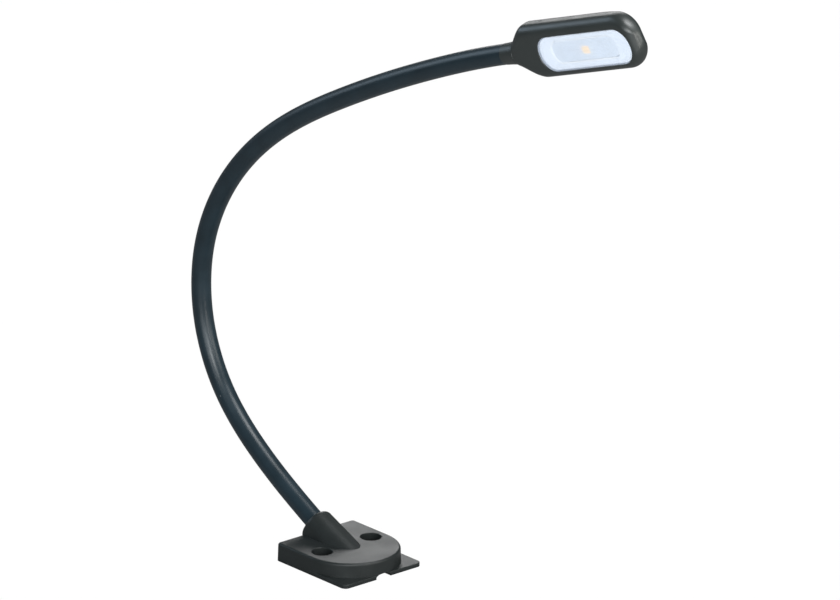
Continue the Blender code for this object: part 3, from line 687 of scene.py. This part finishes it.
def make_socket_cone():
    """An oval cone round the neck's axis, rounded at its mouth and cut flush with the base's back."""
    quarter = np.linspace(0, math.pi / 2, 9)
    mouth = [(MOUTH_ROUND * (1 - math.cos(t)), MOUTH_DROP * (1 - math.sin(t))) for t in quarter]
    rings = []
    for s, drop in mouth + [(SOCKET_LENGTH, 0.0)]:
        radius_up = SOCKET_RADIUS + SOCKET_RISE * s - drop
        radius_side = SOCKET_RADIUS + SOCKET_SPREAD * s - drop
        ring = []
        for k in range(SOCKET_SIDES):
            t = 2 * math.pi * (k + 0.5) / SOCKET_SIDES
            across, down = math.cos(t), math.sin(t)
            if down > 0:
                # Below its axis the socket has nearly straight sides that spread to its foot
                across = math.copysign(math.sqrt(abs(across)), across) * (1 + SOCKET_SKIRT * math.sqrt(down))
                down = math.sqrt(down)
            ring.append(SOCKET_FRAME @ Vector((radius_side * across, radius_up * down, SOCKET_START - s)))
        rings.append(ring)
    cone = skin("socket_cone", rings)
    limits = box("socket_limits", WORLD_FRAME, (BACK_X + SOCKET_FLUSH, -20, 3), (30, 20, 40))
    return keep(cone, limits)


def round_socket_foot(housing):
    """Fills the corner where the socket stands on the block's top with a small fillet."""
    bm = bmesh.new()
    bm.from_mesh(housing.data)
    bmesh.ops.remove_doubles(bm, verts=bm.verts, dist=1e-6)
    level = (BASE_HEIGHT - 0.4 * TOP_FILLET) * MM
    front = (BACK_X + 2 * TOP_FILLET) * MM
    foot = [
        edge
        for edge in bm.edges
        if edge.is_manifold
        and edge.calc_face_angle_signed() < -math.radians(SOCKET_FOOT_TURN)
        and all(v.co.z > level and v.co.x > front for v in edge.verts)
    ]
    bmesh.ops.bevel(
        bm, geom=foot, offset=SOCKET_FOOT_FILLET * MM, offset_type="OFFSET", segments=4,
        profile=0.5, affect="EDGES", clamp_overlap=True,
    )
    bm.to_mesh(housing.data)
    bm.free()


def pillar_outline(side, radius, steps=24):
    """A screw pillar's plan: half round towards the middle and straight out into the side wall."""
    outline = []
    for k in range(steps + 1):
        t = math.pi * k / steps
        outline.append((HOLE_X + radius * math.cos(t), side * (HOLE_Y - radius * math.sin(t))))
    outline.append((HOLE_X - radius, side * (HOLE_Y + PILLAR_REACH)))
    outline.append((HOLE_X + radius, side * (HOLE_Y + PILLAR_REACH)))
    return outline


def notch_arch():
    """The cable notch's outline as (y, z) points."""
    half = NOTCH_WIDTH / 2
    rise = NOTCH_HEIGHT - NOTCH_FOOT
    angles = np.linspace(math.pi, 0, 17)
    arch = [(half * math.cos(t), NOTCH_FOOT + rise * math.sin(t)) for t in angles]
    return [(-half, -1), *arch, (half, -1)]


def make_flange():
    layers = [(0.0, -1.0), (0.0, FLANGE_THICKNESS - FLANGE_EDGE_RADIUS)]
    layers += [
        (inward, FLANGE_THICKNESS - FLANGE_EDGE_RADIUS + up)
        for inward, up in quarter_round(FLANGE_EDGE_RADIUS, 4)
    ]
    middle = (BASE_LENGTH / 2 - FLANGE_LENGTH / 2, 0)
    outlines = []
    for inset, z in layers:
        length, width = FLANGE_LENGTH - 2 * inset, BASE_WIDTH - 2 * inset
        outlines.append((rounded_rectangle(length, width, FLANGE_CORNER_RADIUS - inset, 12, middle), z))
    return stack("flange", WORLD_FRAME, outlines)


def upright(x, y):
    return frame_at((x, y, 0), (0, 0, 1))


def fixing_hole(side, y):
    """Cutters for one fixing hole: a counterbore with a chamfer at its mouth, and the hole through it."""
    place = upright(HOLE_X, y)
    wide = COUNTERBORE_RADIUS + 2 * HOLE_CHAMFER
    counterbore = [
        (COUNTERBORE_RADIUS, SEAT_Z),
        (COUNTERBORE_RADIUS, BASE_HEIGHT - HOLE_CHAMFER),
        (wide, BASE_HEIGHT + HOLE_CHAMFER),
        (wide, BASE_HEIGHT + 4),
    ]
    through = [(THROUGH_RADIUS, -1), (THROUGH_RADIUS, BASE_HEIGHT + 4)]
    return [
        rod(f"counterbore_{side}", place, counterbore, 64),
        rod(f"through_{side}", place, through, 48),
    ]


def make_base_housing():
    housing = make_body_block(BASE_PLASTIC)
    join(housing, make_socket_cone())
    round_socket_foot(baked(housing))
    join(housing, make_flange())
    cut(housing, box("below", WORLD_FRAME, (-40, -40, -10), (40, 40, 0)))
    pillars = [
        prism(f"pillar_{side}", WORLD_FRAME, pillar_outline(sign, PILLAR_RADIUS), -3, 12)
        for side, sign in (("left", -1), ("right", 1))
    ]
    posts = [
        rod(f"post_{side}", upright(x, y), [(POST_RADIUS, -2), (POST_RADIUS, 12)], 32)
        for side, (x, y) in COVER_SCREWS.items()
    ]
    half_block = SOCKET_BLOCK_HALF_WIDTH
    block_low = (-30, -half_block, -2)
    block_high = (SOCKET_BLOCK_FRONT_X, half_block, 12)
    block = box("socket_block", WORLD_FRAME, block_low, block_high)
    recess = prism("cover_recess", WORLD_FRAME, d_outline(WALL), -1, COVER_THICKNESS + GAP)
    cut(recess, *pillars)
    pocket = prism("pocket", WORLD_FRAME, d_outline(WALL + COVER_LEDGE), -1.5, CEILING_Z)
    cut(pocket, *pillars, *posts, block)
    cut(housing, recess, pocket)
    gland_room = [(GLAND_ROOM_RADIUS, z) for z in GLAND_ROOM_REACH]
    bore = [(BORE_RADIUS, z) for z in BORE_REACH]
    cut(housing, rod("gland_room", SOCKET_FRAME, gland_room, 48), rod("neck_bore", SOCKET_FRAME, bore, 48))
    for side, y in (("left", -HOLE_Y), ("right", HOLE_Y)):
        cut(housing, *fixing_hole(side, y))
    for side, (x, y) in COVER_SCREWS.items():
        cut(housing, rod(f"pilot_{side}", upright(x, y), [(PILOT_RADIUS, -1), (PILOT_RADIUS, PILOT_TOP)], 24))
    cut(housing, prism("cable_notch", frame_at((0, 0, 0), (1, 0, 0)), notch_arch(), NOTCH_START_X, 30))
    settled(housing)
    place_piece(housing, "base", "base_plastic", "base_housing")


def make_base_cover():
    plan = d_outline(WALL + GAP)
    cover = prism("base_bottom_cover_fine", WORLD_FRAME, plan, 0, COVER_THICKNESS, BASE_PLASTIC)
    for side, sign in (("left", -1), ("right", 1)):
        outline = pillar_outline(sign, PILLAR_RADIUS + GAP)
        cut(cover, prism(f"cover_clearance_{side}", WORLD_FRAME, outline, -1, 3))
    for side, (x, y) in COVER_SCREWS.items():
        cut(
            cover,
            rod(f"cover_sink_{side}", upright(x, y), [(SINK_RADIUS, -1), (SINK_RADIUS, SINK_DEPTH)], 32),
            rod(f"cover_hole_{side}", upright(x, y), [(PILOT_RADIUS, -1), (PILOT_RADIUS, 3)], 24),
        )
    half = NOTCH_WIDTH / 2
    cut(cover, box("cover_notch", WORLD_FRAME, (NOTCH_START_X - 0.5, -half, -1), (30, half, 3)))
    settled(cover)
    place_piece(cover, "base", "base_plastic", "base_bottom_cover")


def make_screw(node, place, sizes, body):
    """A pan-head screw with a cross recess. Its frame's Z runs from its head into the work."""
    head_radius, head_height, shank_radius, length = sizes
    turns = np.linspace(0.15, math.pi / 2, 8)
    dome = [(head_radius * math.sin(t), head_height * 0.6 * (1 - math.cos(t))) for t in turns]
    profile = [*dome, (head_radius, head_height), (shank_radius, head_height)]
    threads = int((length - head_height - THREAD_PITCH) / THREAD_PITCH)
    for k in range(threads):
        start = head_height + THREAD_PITCH / 2 * (2 * k + 1)
        profile += [(shank_radius, start), (shank_radius * 0.8, start + THREAD_PITCH / 2)]
    profile.append((shank_radius * 0.3, length))
    screw = rod(f"{node}_fine", place, profile, 32, STEEL)
    reach, half = head_radius * 0.6, head_radius * 0.12
    depth = head_height * 0.75
    cut(
        screw,
        box(f"{node}_slot_a", place, (-reach, -half, -1), (reach, half, depth)),
        box(f"{node}_slot_b", place, (-half, -reach, -1), (half, reach, depth)),
    )
    settled(screw)
    place_piece(screw, body, "steel", node)


def make_base_screws():
    for side, (x, y) in COVER_SCREWS.items():
        place = frame_at((x, y, BASE_SCREW_Z), (0, 0, 1))
        make_screw(f"base_cover_screw_{side}", place, BASE_SCREW, "base")


# Neck


def neck_edges():
    """Where one piece of the neck ends and the next starts: halfway between bends."""
    arcs = [arc_of(pivot) for pivot in PIVOTS]
    halfway = [(a + b) / 2 for a, b in zip(arcs, arcs[1:])]
    return [SHEATH_START, *halfway, NECK_LENGTH + SEAM_AHEAD - COLLAR_LENGTH + COLLAR_GRIP]


def tube_between(name, low, high, step, sides, outer, inner, material):
    """A tube along the neck. outer and inner give a radius from the arc and the angle; a rod has no inner."""
    places = [(arc, neck_frame(arc)) for arc in np.linspace(low, high, 2 + int((high - low) / step))]
    angles = [2 * math.pi * (k + 0.5) / sides for k in range(sides)]

    def rings(radius):
        return [
            [place @ Vector((radius(arc, t) * math.cos(t), radius(arc, t) * math.sin(t), 0)) for t in angles]
            for arc, place in places
        ]

    if inner is None:
        obj = skin(name, rings(outer), material)
    else:
        obj = skin(name, rings(outer) + rings(inner)[::-1], material, hollow=True)
    rest = obj.data.attributes.new("rest", "FLOAT_VECTOR", "POINT")
    rest.data.foreach_set("vector", np.array([v.co for v in obj.data.vertices], np.float32).ravel())
    return obj


def constant(radius):
    return lambda arc, angle: radius


def wound(radius, depth, pitch):
    """A radius with a helical groove."""
    return lambda arc, angle: radius - depth * (0.5 + 0.5 * math.cos(2 * math.pi * arc / pitch - angle))


def make_neck():
    edges = neck_edges()
    layers = [
        ("sheath", "sheath_rubber", SHEATH_RUBBER, 1.2, 48, constant(SHEATH_RADIUS), constant(SHEATH_BORE)),
        (
            "hose", "steel", HOSE_STEEL, HOSE_PITCH / 6, 20,
            wound(HOSE_RADIUS, HOSE_GROOVE, HOSE_PITCH),
            wound(HOSE_BORE + HOSE_GROOVE, HOSE_GROOVE, HOSE_PITCH),
        ),
        ("lead", "lead_pvc", LEAD_PVC, 2.0, 16, constant(LEAD_RADIUS), None),
    ]
    for i, joint in enumerate(BENDS):
        low, high = edges[i], edges[i + 1]
        start = neck_point(SOCKET_MOUTH if i == 0 else low)
        for layer, slot, material, step, sides, outer, inner in layers:
            first, last = low, high
            if layer != "sheath" and i == 0:
                first = SHEATH_START - HOSE_OVERLAP
            if layer != "sheath" and i == len(BENDS) - 1:
                last = NECK_LENGTH + HOSE_END
            name = f"{layer}_piece_{i + 1:02d}"
            piece = tube_between(name, first, last, step, sides, outer, inner, material)
            nodes = [f"{layer}_{i + 1:02d}"] + ([f"{layer}_00"] if i == 0 else [])
            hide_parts(*nodes)
            ends = [(joint["parent"], start * MM), (joint["child"], neck_point(high) * MM)]
            if joint["name"] in BLENDED_DOWNWARDS:
                ends.reverse()
            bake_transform(piece)


def make_collar():
    start = SEAM_AHEAD - COLLAR_LENGTH
    seam = SEAM_AHEAD - SEAM_GAP
    mouth_radius = SHEATH_RADIUS + 0.04
    outline = [
        (mouth_radius, start),
        (SHEATH_RADIUS + 0.14, start + 0.12),
        (SHEATH_RADIUS + 0.18, start + 0.3),
    ]
    # The outside flares towards the seam, where its edge turns in: (back from the seam, radius)
    flare = [(7.0, 5.26), (5.0, 5.38), (3.0, 5.54), (1.2, 5.72), (0.5, 5.78), (0.15, 5.74), (0.0, 5.60)]
    outline += [(radius, seam - back) for back, radius in flare]
    outline += [
        (SPIGOT_RADIUS, seam),
        (SPIGOT_RADIUS, CLIP_GROOVE[0]),
        (CLIP_GROOVE_RADIUS, CLIP_GROOVE[0]),
        (CLIP_GROOVE_RADIUS, CLIP_GROOVE[1]),
        (SPIGOT_RADIUS, CLIP_GROOVE[1]),
        (SPIGOT_RADIUS - 0.3, SPIGOT_END),
        (LEAD_HOLE_RADIUS, SPIGOT_END),
        (LEAD_HOLE_RADIUS, 0.0),
        (mouth_radius, 0.0),
    ]
    collar = settled(turned("head_collar_fine", COLLAR_FRAME, outline, 96, HEAD_PLASTIC))
    place_piece(collar, "neck_12", "head_plastic", "head_collar")


# Head


def head_section(a, inset=0.0, steps=12):
    """The head's outline across its length at a distance from the seam, as (b, c) points."""
    grow = {side: smoothstep((a - FLARE_START) / length) for side, length in FLARE_LENGTHS.items()}
    swell = smoothstep(a / SWELL_LENGTH)
    width = {side: NECK_END_RADIUS + (HEAD_HALF_WIDTHS[side] - NECK_END_RADIUS) * grow[side] for side in grow}
    front = NECK_END_RADIUS + (HEAD_FRONT_DEPTH - NECK_END_RADIUS) * swell
    back = -NECK_END_RADIUS - (HEAD_BACK_DEPTH - NECK_END_RADIUS) * swell
    front_radius = NECK_END_RADIUS + (FRONT_EDGE_RADIUS - NECK_END_RADIUS) * swell
    back_radius = NECK_END_RADIUS + (BACK_EDGE_RADIUS - NECK_END_RADIUS) * swell
    end = HEAD_LENGTH - inset
    corner = PLAN_CORNER_RADIUS - inset
    past_corner = min(max(a - (end - corner), 0.0), corner)
    past_edge = min(max(a - (end - FRONT_EDGE_RADIUS), 0.0), FRONT_EDGE_RADIUS)
    past_slope = min(max(a - (end - BACK_SLOPE_LENGTH), 0.0), BACK_SLOPE_LENGTH)
    drawn_in = inset + corner - math.sqrt(corner**2 - past_corner**2)
    width = {side: width[side] - drawn_in for side in width}
    front -= FRONT_EDGE_RADIUS - math.sqrt(FRONT_EDGE_RADIUS**2 - past_edge**2)
    slope = math.sqrt(1 - (past_slope / BACK_SLOPE_LENGTH) ** 2)
    back = TIP_EDGE_DEPTH + (back - TIP_EDGE_DEPTH) * slope
    front -= inset
    back = min(back + inset * slope, front - LEAST_DEPTH)
    narrow = min(width.values()) * 0.98
    fit = min(1.0, 0.96 * (front - back) / (front_radius + back_radius))
    front_radius = max(min(front_radius * fit, narrow) - inset * 0.6, LEAST_DEPTH / 4)
    back_radius = max(min(back_radius * fit, narrow) - inset * 0.6, LEAST_DEPTH / 4)
    outline = []
    corners = [(1, front, front_radius, 0), (-1, front, front_radius, 90)]
    corners += [(-1, back, back_radius, 180), (1, back, back_radius, 270)]
    for side, edge, radius, start in corners:
        b = side * (width[side] - radius)
        c = edge - math.copysign(radius, edge - (front + back) / 2)
        for k in range(steps + 1):
            t = math.radians(start + 90 * k / steps)
            outline.append((b + radius * math.cos(t), c + radius * math.sin(t)))
    return outline


def head_ring(a, inset=0.0, drawn_in=0.0):
    """A ring of the head's surface, drawn in further by an edge's rounding."""
    return [PLAN_FRAME @ Vector((a, b, c)) for b, c in head_section(a, inset + drawn_in)]


def head_loft(name, start, inset, material=None, seam_round=0.0):
    """The head's body from a start to its tip, with its first edge rounded if asked."""
    end = HEAD_LENGTH - inset
    corner = PLAN_CORNER_RADIUS - inset
    straight = list(np.arange(start + max(seam_round, 0.5), FLARE_END, 0.75))
    straight += list(np.arange(FLARE_END, end - corner - 1.5, 3.0))
    tip = [end - corner + corner * math.sin(t) for t in np.radians([*range(0, 84, 4), 85, 87, 88.3, 89.2])]
    rings = []
    if seam_round:
        for t in np.linspace(0, math.pi / 2, 5):
            a = start + seam_round * (1 - math.cos(t))
            rings.append(head_ring(a, inset, seam_round * (1 - math.sin(t))))
    else:
        rings.append(head_ring(start, inset))
    rings += [head_ring(a, inset) for a in straight + tip]
    return skin(name, rings, material)


def head_screw_frames(depth):
    """A frame at each of the rear cover's screws, with Z pointing in from the back."""
    places = {"lower": -COVER_SCREW_B, "upper": COVER_SCREW_B}
    return {
        side: frame_at(PLAN_FRAME @ Vector((COVER_SCREW_A, b, depth)), HEAD_FRONT, HEAD_SIDE)
        for side, b in places.items()
    }


def lens_outline(grow):
    return rounded_rectangle(
        LENS_LENGTH + 2 * grow, LENS_WIDTH + 2 * grow, LENS_CORNER + grow, 20, (LENS_MIDDLE, LENS_LOW)
    )


def make_head_shells():
    housing = head_loft("head_housing_fine", SEAM_AHEAD + SEAM_GAP, 0, HEAD_PLASTIC, SEAM_ROUND)
    window = [
        (lens_outline(0.1), 3.0),
        (lens_outline(0.1), HEAD_FRONT_DEPTH - 0.25),
        (lens_outline(0.35), HEAD_FRONT_DEPTH),
        (lens_outline(0.6), HEAD_FRONT_DEPTH + 0.25),
    ]
    flange_room = [(lens_outline(LENS_LIP + GAP), 2.0), (lens_outline(LENS_LIP + GAP), LENS_STEP + 0.1)]
    rear_low = (COVER_START, -20, -12)
    rear_high = (HEAD_LENGTH + 5, 20, PARTING_DEPTH + GAP / 2)
    spigot = [(SPIGOT_RADIUS + GAP, -1), (SPIGOT_RADIUS + GAP, 8)]
    chamber = [(CLIP_CHAMBER_RADIUS, CLIP_CHAMBER_START), (CLIP_CHAMBER_RADIUS, CAVITY_START + 1)]
    cut(
        housing,
        box("rear_half", PLAN_FRAME, rear_low, rear_high),
        head_loft("head_cavity_front", CAVITY_START, HEAD_WALL),
        stack("lens_flange_room", PLAN_FRAME, flange_room),
        stack("lens_window", PLAN_FRAME, window),
        rod("spigot_bore", COLLAR_FRAME, spigot, 64),
        rod("clip_chamber", COLLAR_FRAME, chamber, 64),
    )
    cover = head_loft("head_rear_cover_fine", CLIP_CHAMBER_START, 0, HEAD_PLASTIC)
    cover_low = (COVER_START + GAP, -20, -12)
    cover_high = (HEAD_LENGTH + 5, 20, PARTING_DEPTH - GAP / 2)
    keep(cover, box("rear_limits", PLAN_FRAME, cover_low, cover_high))
    channel = [(CLIP_CHAMBER_RADIUS, 5), (CLIP_CHAMBER_RADIUS, CAVITY_START + 1)]
    cut(
        cover,
        head_loft("head_cavity_rear", CAVITY_START, HEAD_WALL),
        rod("lead_channel", COLLAR_FRAME, channel, 48),
    )
    for side, place in head_screw_frames(-HEAD_BACK_DEPTH).items():
        sink = [(REAR_SINK_RADIUS, -2), (REAR_SINK_RADIUS, REAR_SINK_DEPTH)]
        hole = [(REAR_PILOT_RADIUS, -2), (REAR_PILOT_RADIUS, 6)]
        pilot = [(REAR_PILOT_RADIUS, -2), (REAR_PILOT_RADIUS, REAR_PILOT_DEPTH)]
        cut(cover, rod(f"rear_sink_{side}", place, sink, 32), rod(f"rear_hole_{side}", place, hole, 24))
        cut(housing, rod(f"rear_pilot_{side}", place, pilot, 24))
    settled(housing)
    settled(cover)
    place_piece(housing, "head", "head_plastic", "head_housing")
    place_piece(cover, "head", "head_plastic", "head_rear_cover")


def make_head_screws():
    for side, place in head_screw_frames(HEAD_SCREW_DEPTH - HEAD_BACK_DEPTH).items():
        make_screw(f"rear_cover_screw_{side}", place, HEAD_SCREW, "head")


def make_lens():
    """A stepped lens cap: its face fills the window, its lip lies behind it and its back is hollow."""
    step = LENS_STEP - LENS_CLEARANCE
    shoulder = LENS_FACE - LENS_EDGE_RADIUS
    layers = [(lens_outline(LENS_LIP), LENS_BACK), (lens_outline(LENS_LIP), step)]
    layers += [(lens_outline(0), step), (lens_outline(0), shoulder)]
    layers += [(lens_outline(-inward), shoulder + up) for inward, up in quarter_round(LENS_EDGE_RADIUS, 4)]
    lens = stack("lens_fine", PLAN_FRAME, layers, ACRYLIC)
    cut(lens, prism("lens_hollow", PLAN_FRAME, lens_outline(-LENS_WALL), 0, LENS_FACE - LENS_THICKNESS))
    settled(lens)
    place_piece(lens, "head", "lens_acrylic", "lens")


def tray_hollow_outline(grow):
    length = TRAY_HOLLOW_LENGTH + 2 * grow
    width = TRAY_HOLLOW_WIDTH + 2 * grow
    return rounded_rectangle(length, width, TRAY_HOLLOW_CORNER + grow, 12, TRAY_MIDDLE)


def make_reflector():
    """The white tray behind the lens: a border, and inside it a lower floor with a window for the LED."""
    top = LENS_FACE - LENS_THICKNESS - LENS_CLEARANCE
    plan = lens_outline(-LENS_WALL - 0.2)
    border = prism("reflector_border", PLAN_FRAME, plan, TRAY_BACK, top, REFLECTOR)
    cut(border, prism("tray_hollow", PLAN_FRAME, tray_hollow_outline(0), 0, 9))
    plan = tray_hollow_outline(-TRAY_GROOVE)
    # The floor takes the darker white with the weaker glow, a painted shade.
    floor = prism("reflector_floor", PLAN_FRAME, plan, TRAY_BACK, top - TRAY_STEP, REFLECTOR_FLOOR_SHADED)
    half_length = EMITTER_LENGTH / 2 + GAP
    half_width = EMITTER_WIDTH / 2 + GAP
    window_low = (EMITTER_MIDDLE - half_length, LENS_LOW - half_width, 0)
    window_high = (EMITTER_MIDDLE + half_length, LENS_LOW + half_width, 9)
    cut(floor, box("tray_window", PLAN_FRAME, window_low, window_high))
    for piece in (border, floor):
        settled(piece)
        place_piece(piece, "head", "reflector_white", "reflector_tray")


def make_emitter():
    """The LED: an oblong package with a domed phosphor."""
    top = LENS_FACE - LENS_THICKNESS - EMITTER_CLEARANCE
    middle = (EMITTER_MIDDLE, LENS_LOW)
    # Each layer of the dome: its share of the package's size, its depth and its corner radius
    dome = [(1.0, EMITTER_BACK, 0.4), (1.0, top - 0.3, 0.4), (0.97, top - 0.25, 0.7)]
    dome += [(0.85, top - 0.1, 0.7), (0.6, top - 0.02, 0.6), (0.2, top, 0.2)]
    layers = []
    for share, depth, corner in dome:
        length, width = EMITTER_LENGTH * share, EMITTER_WIDTH * share
        layers.append((rounded_rectangle(length, width, corner, 4, middle), depth))
    emitter = settled(stack("led_emitter_fine", PLAN_FRAME, layers, PHOSPHOR))
    place_piece(emitter, "head", "emitter_phosphor", "led_emitter")


def dress_cad_nodes():
    """Gives each CAD node that stays its finish."""
    finishes = {
        "terminal_block": TERMINAL,
        "gooseneck_ferrule": BRASS,
        "gooseneck_nut": STEEL,
        "swivel_friction_ring": RING_RUBBER,
        "swivel_clip": STEEL,
        "led_board": BOARD,
        "heat_spreader": SPREADER,
        "driver_board": LAMINATE,
        "head_lead": HEAD_LEAD_PVC,
    }
    for node, material in finishes.items():
        for slot in frame["nodes"][node].material_slots:
            slot.material = material


# Studio


def softbox(name, place, target, size, power, colour):
    """A rectangular light at a place, facing a target. Both are in metres."""
    light = bpy.data.lights.new(name, "AREA")
    light.shape = "RECTANGLE"
    light.size, light.size_y = size
    light.energy = power
    light.color = colour
    obj = bpy.data.objects.new(name, light)
    bpy.context.scene.collection.objects.link(obj)
    obj.location = place
    obj.rotation_mode = "QUATERNION"
    obj.rotation_quaternion = (Vector(target) - Vector(place)).to_track_quat("-Z", "Y")


def unlike_to_camera(tree, shader, seen, output, share):
    """Shows one shader to the camera by a share, while light still meets the shader behind it."""
    path = tree.nodes.new("ShaderNodeLightPath")
    part = tree.nodes.new("ShaderNodeMath")
    part.operation = "MULTIPLY"
    part.inputs[1].default_value = share
    both = tree.nodes.new("ShaderNodeMixShader")
    link(tree, path.outputs["Is Camera Ray"], part.inputs[0])
    link(tree, part.outputs["Value"], both.inputs["Fac"])
    link(tree, shader, both.inputs[1])
    link(tree, seen, both.inputs[2])
    link(tree, both.outputs["Shader"], output.inputs["Surface"])


def make_floor():
    """Pale paper, almost clear to the camera: a head bent below the floor's level still shows."""
    corners = [(-1, -1), (1, -1), (1, 1), (-1, 1)]
    points = [(x * FLOOR_REACH, y * FLOOR_REACH, 0) for x, y in corners]
    mesh = bpy.data.meshes.new("floor")
    mesh.from_pydata(points, [], [(0, 1, 2, 3)])
    floor = bpy.data.objects.new("floor", mesh)
    bpy.context.scene.collection.objects.link(floor)
    paper = finish_material(
        "floor_paper", (0.25, 0.25, 0.25), 0.9, grain=40, depth=0.01, drift=0.01, specular=0.0
    )
    tree = paper.node_tree
    shader = tree.nodes["Principled BSDF"].outputs["BSDF"]
    clear = tree.nodes.new("ShaderNodeBsdfTransparent")
    unlike_to_camera(tree, shader, clear.outputs["BSDF"], tree.nodes["Material Output"], FLOOR_CLEAR)
    floor.data.materials.append(paper)


def make_world():
    """A dim studio that is white where the camera sees past the floor."""
    world = bpy.data.worlds.new("studio")
    world.use_nodes = True
    bpy.context.scene.world = world
    tree = world.node_tree
    background = tree.nodes["Background"]
    background.inputs["Color"].default_value = (*WORLD_COLOUR, 1.0)
    background.inputs["Strength"].default_value = WORLD_STRENGTH
    white = tree.nodes.new("ShaderNodeEmission")
    white.inputs["Strength"].default_value = WHITE_STRENGTH
    shader = background.outputs["Background"]
    unlike_to_camera(tree, shader, white.outputs["Emission"], tree.nodes["World Output"], 1.0)


def make_camera():
    azimuth = math.radians(CAMERA_AZIMUTH)
    elevation = math.radians(CAMERA_ELEVATION)
    back = Vector((
        math.sin(azimuth) * math.cos(elevation),
        -math.cos(azimuth) * math.cos(elevation),
        math.sin(elevation),
    ))
    right = Vector((math.cos(azimuth), math.sin(azimuth), 0))
    up = back.cross(right)
    turn = Matrix.Rotation(math.radians(CAMERA_ROLL), 3, back)
    right, up = turn @ right, turn @ up
    place = back * CAMERA_DISTANCE
    ahead = (right * AIM_RIGHT + up * AIM_UP - place).normalized()
    side = ahead.cross(up).normalized()
    over = side.cross(ahead)
    camera = bpy.data.objects.new("camera", bpy.data.cameras.new("camera"))
    bpy.context.scene.collection.objects.link(camera)
    camera.matrix_world = Matrix((side, over, -ahead)).transposed().to_4x4()
    camera.location = place
    camera.data.lens = CAMERA_LENS
    camera.data.sensor_width = CAMERA_SENSOR
    camera.data.clip_end = CAMERA_REACH
    bpy.context.scene.camera = camera


def make_lights():
    for name, (place, target, size, power, colour) in LIGHTS.items():
        softbox(name, place, target, size, power, colour)


make_camera()
make_base_housing()
make_base_cover()
make_base_screws()
make_neck()
make_collar()
make_head_shells()
make_head_screws()
make_lens()
make_reflector()
make_emitter()
remove_helpers()
dress_cad_nodes()
make_floor()
make_world()
make_lights()
bpy.context.scene.view_settings.view_transform = "Standard"
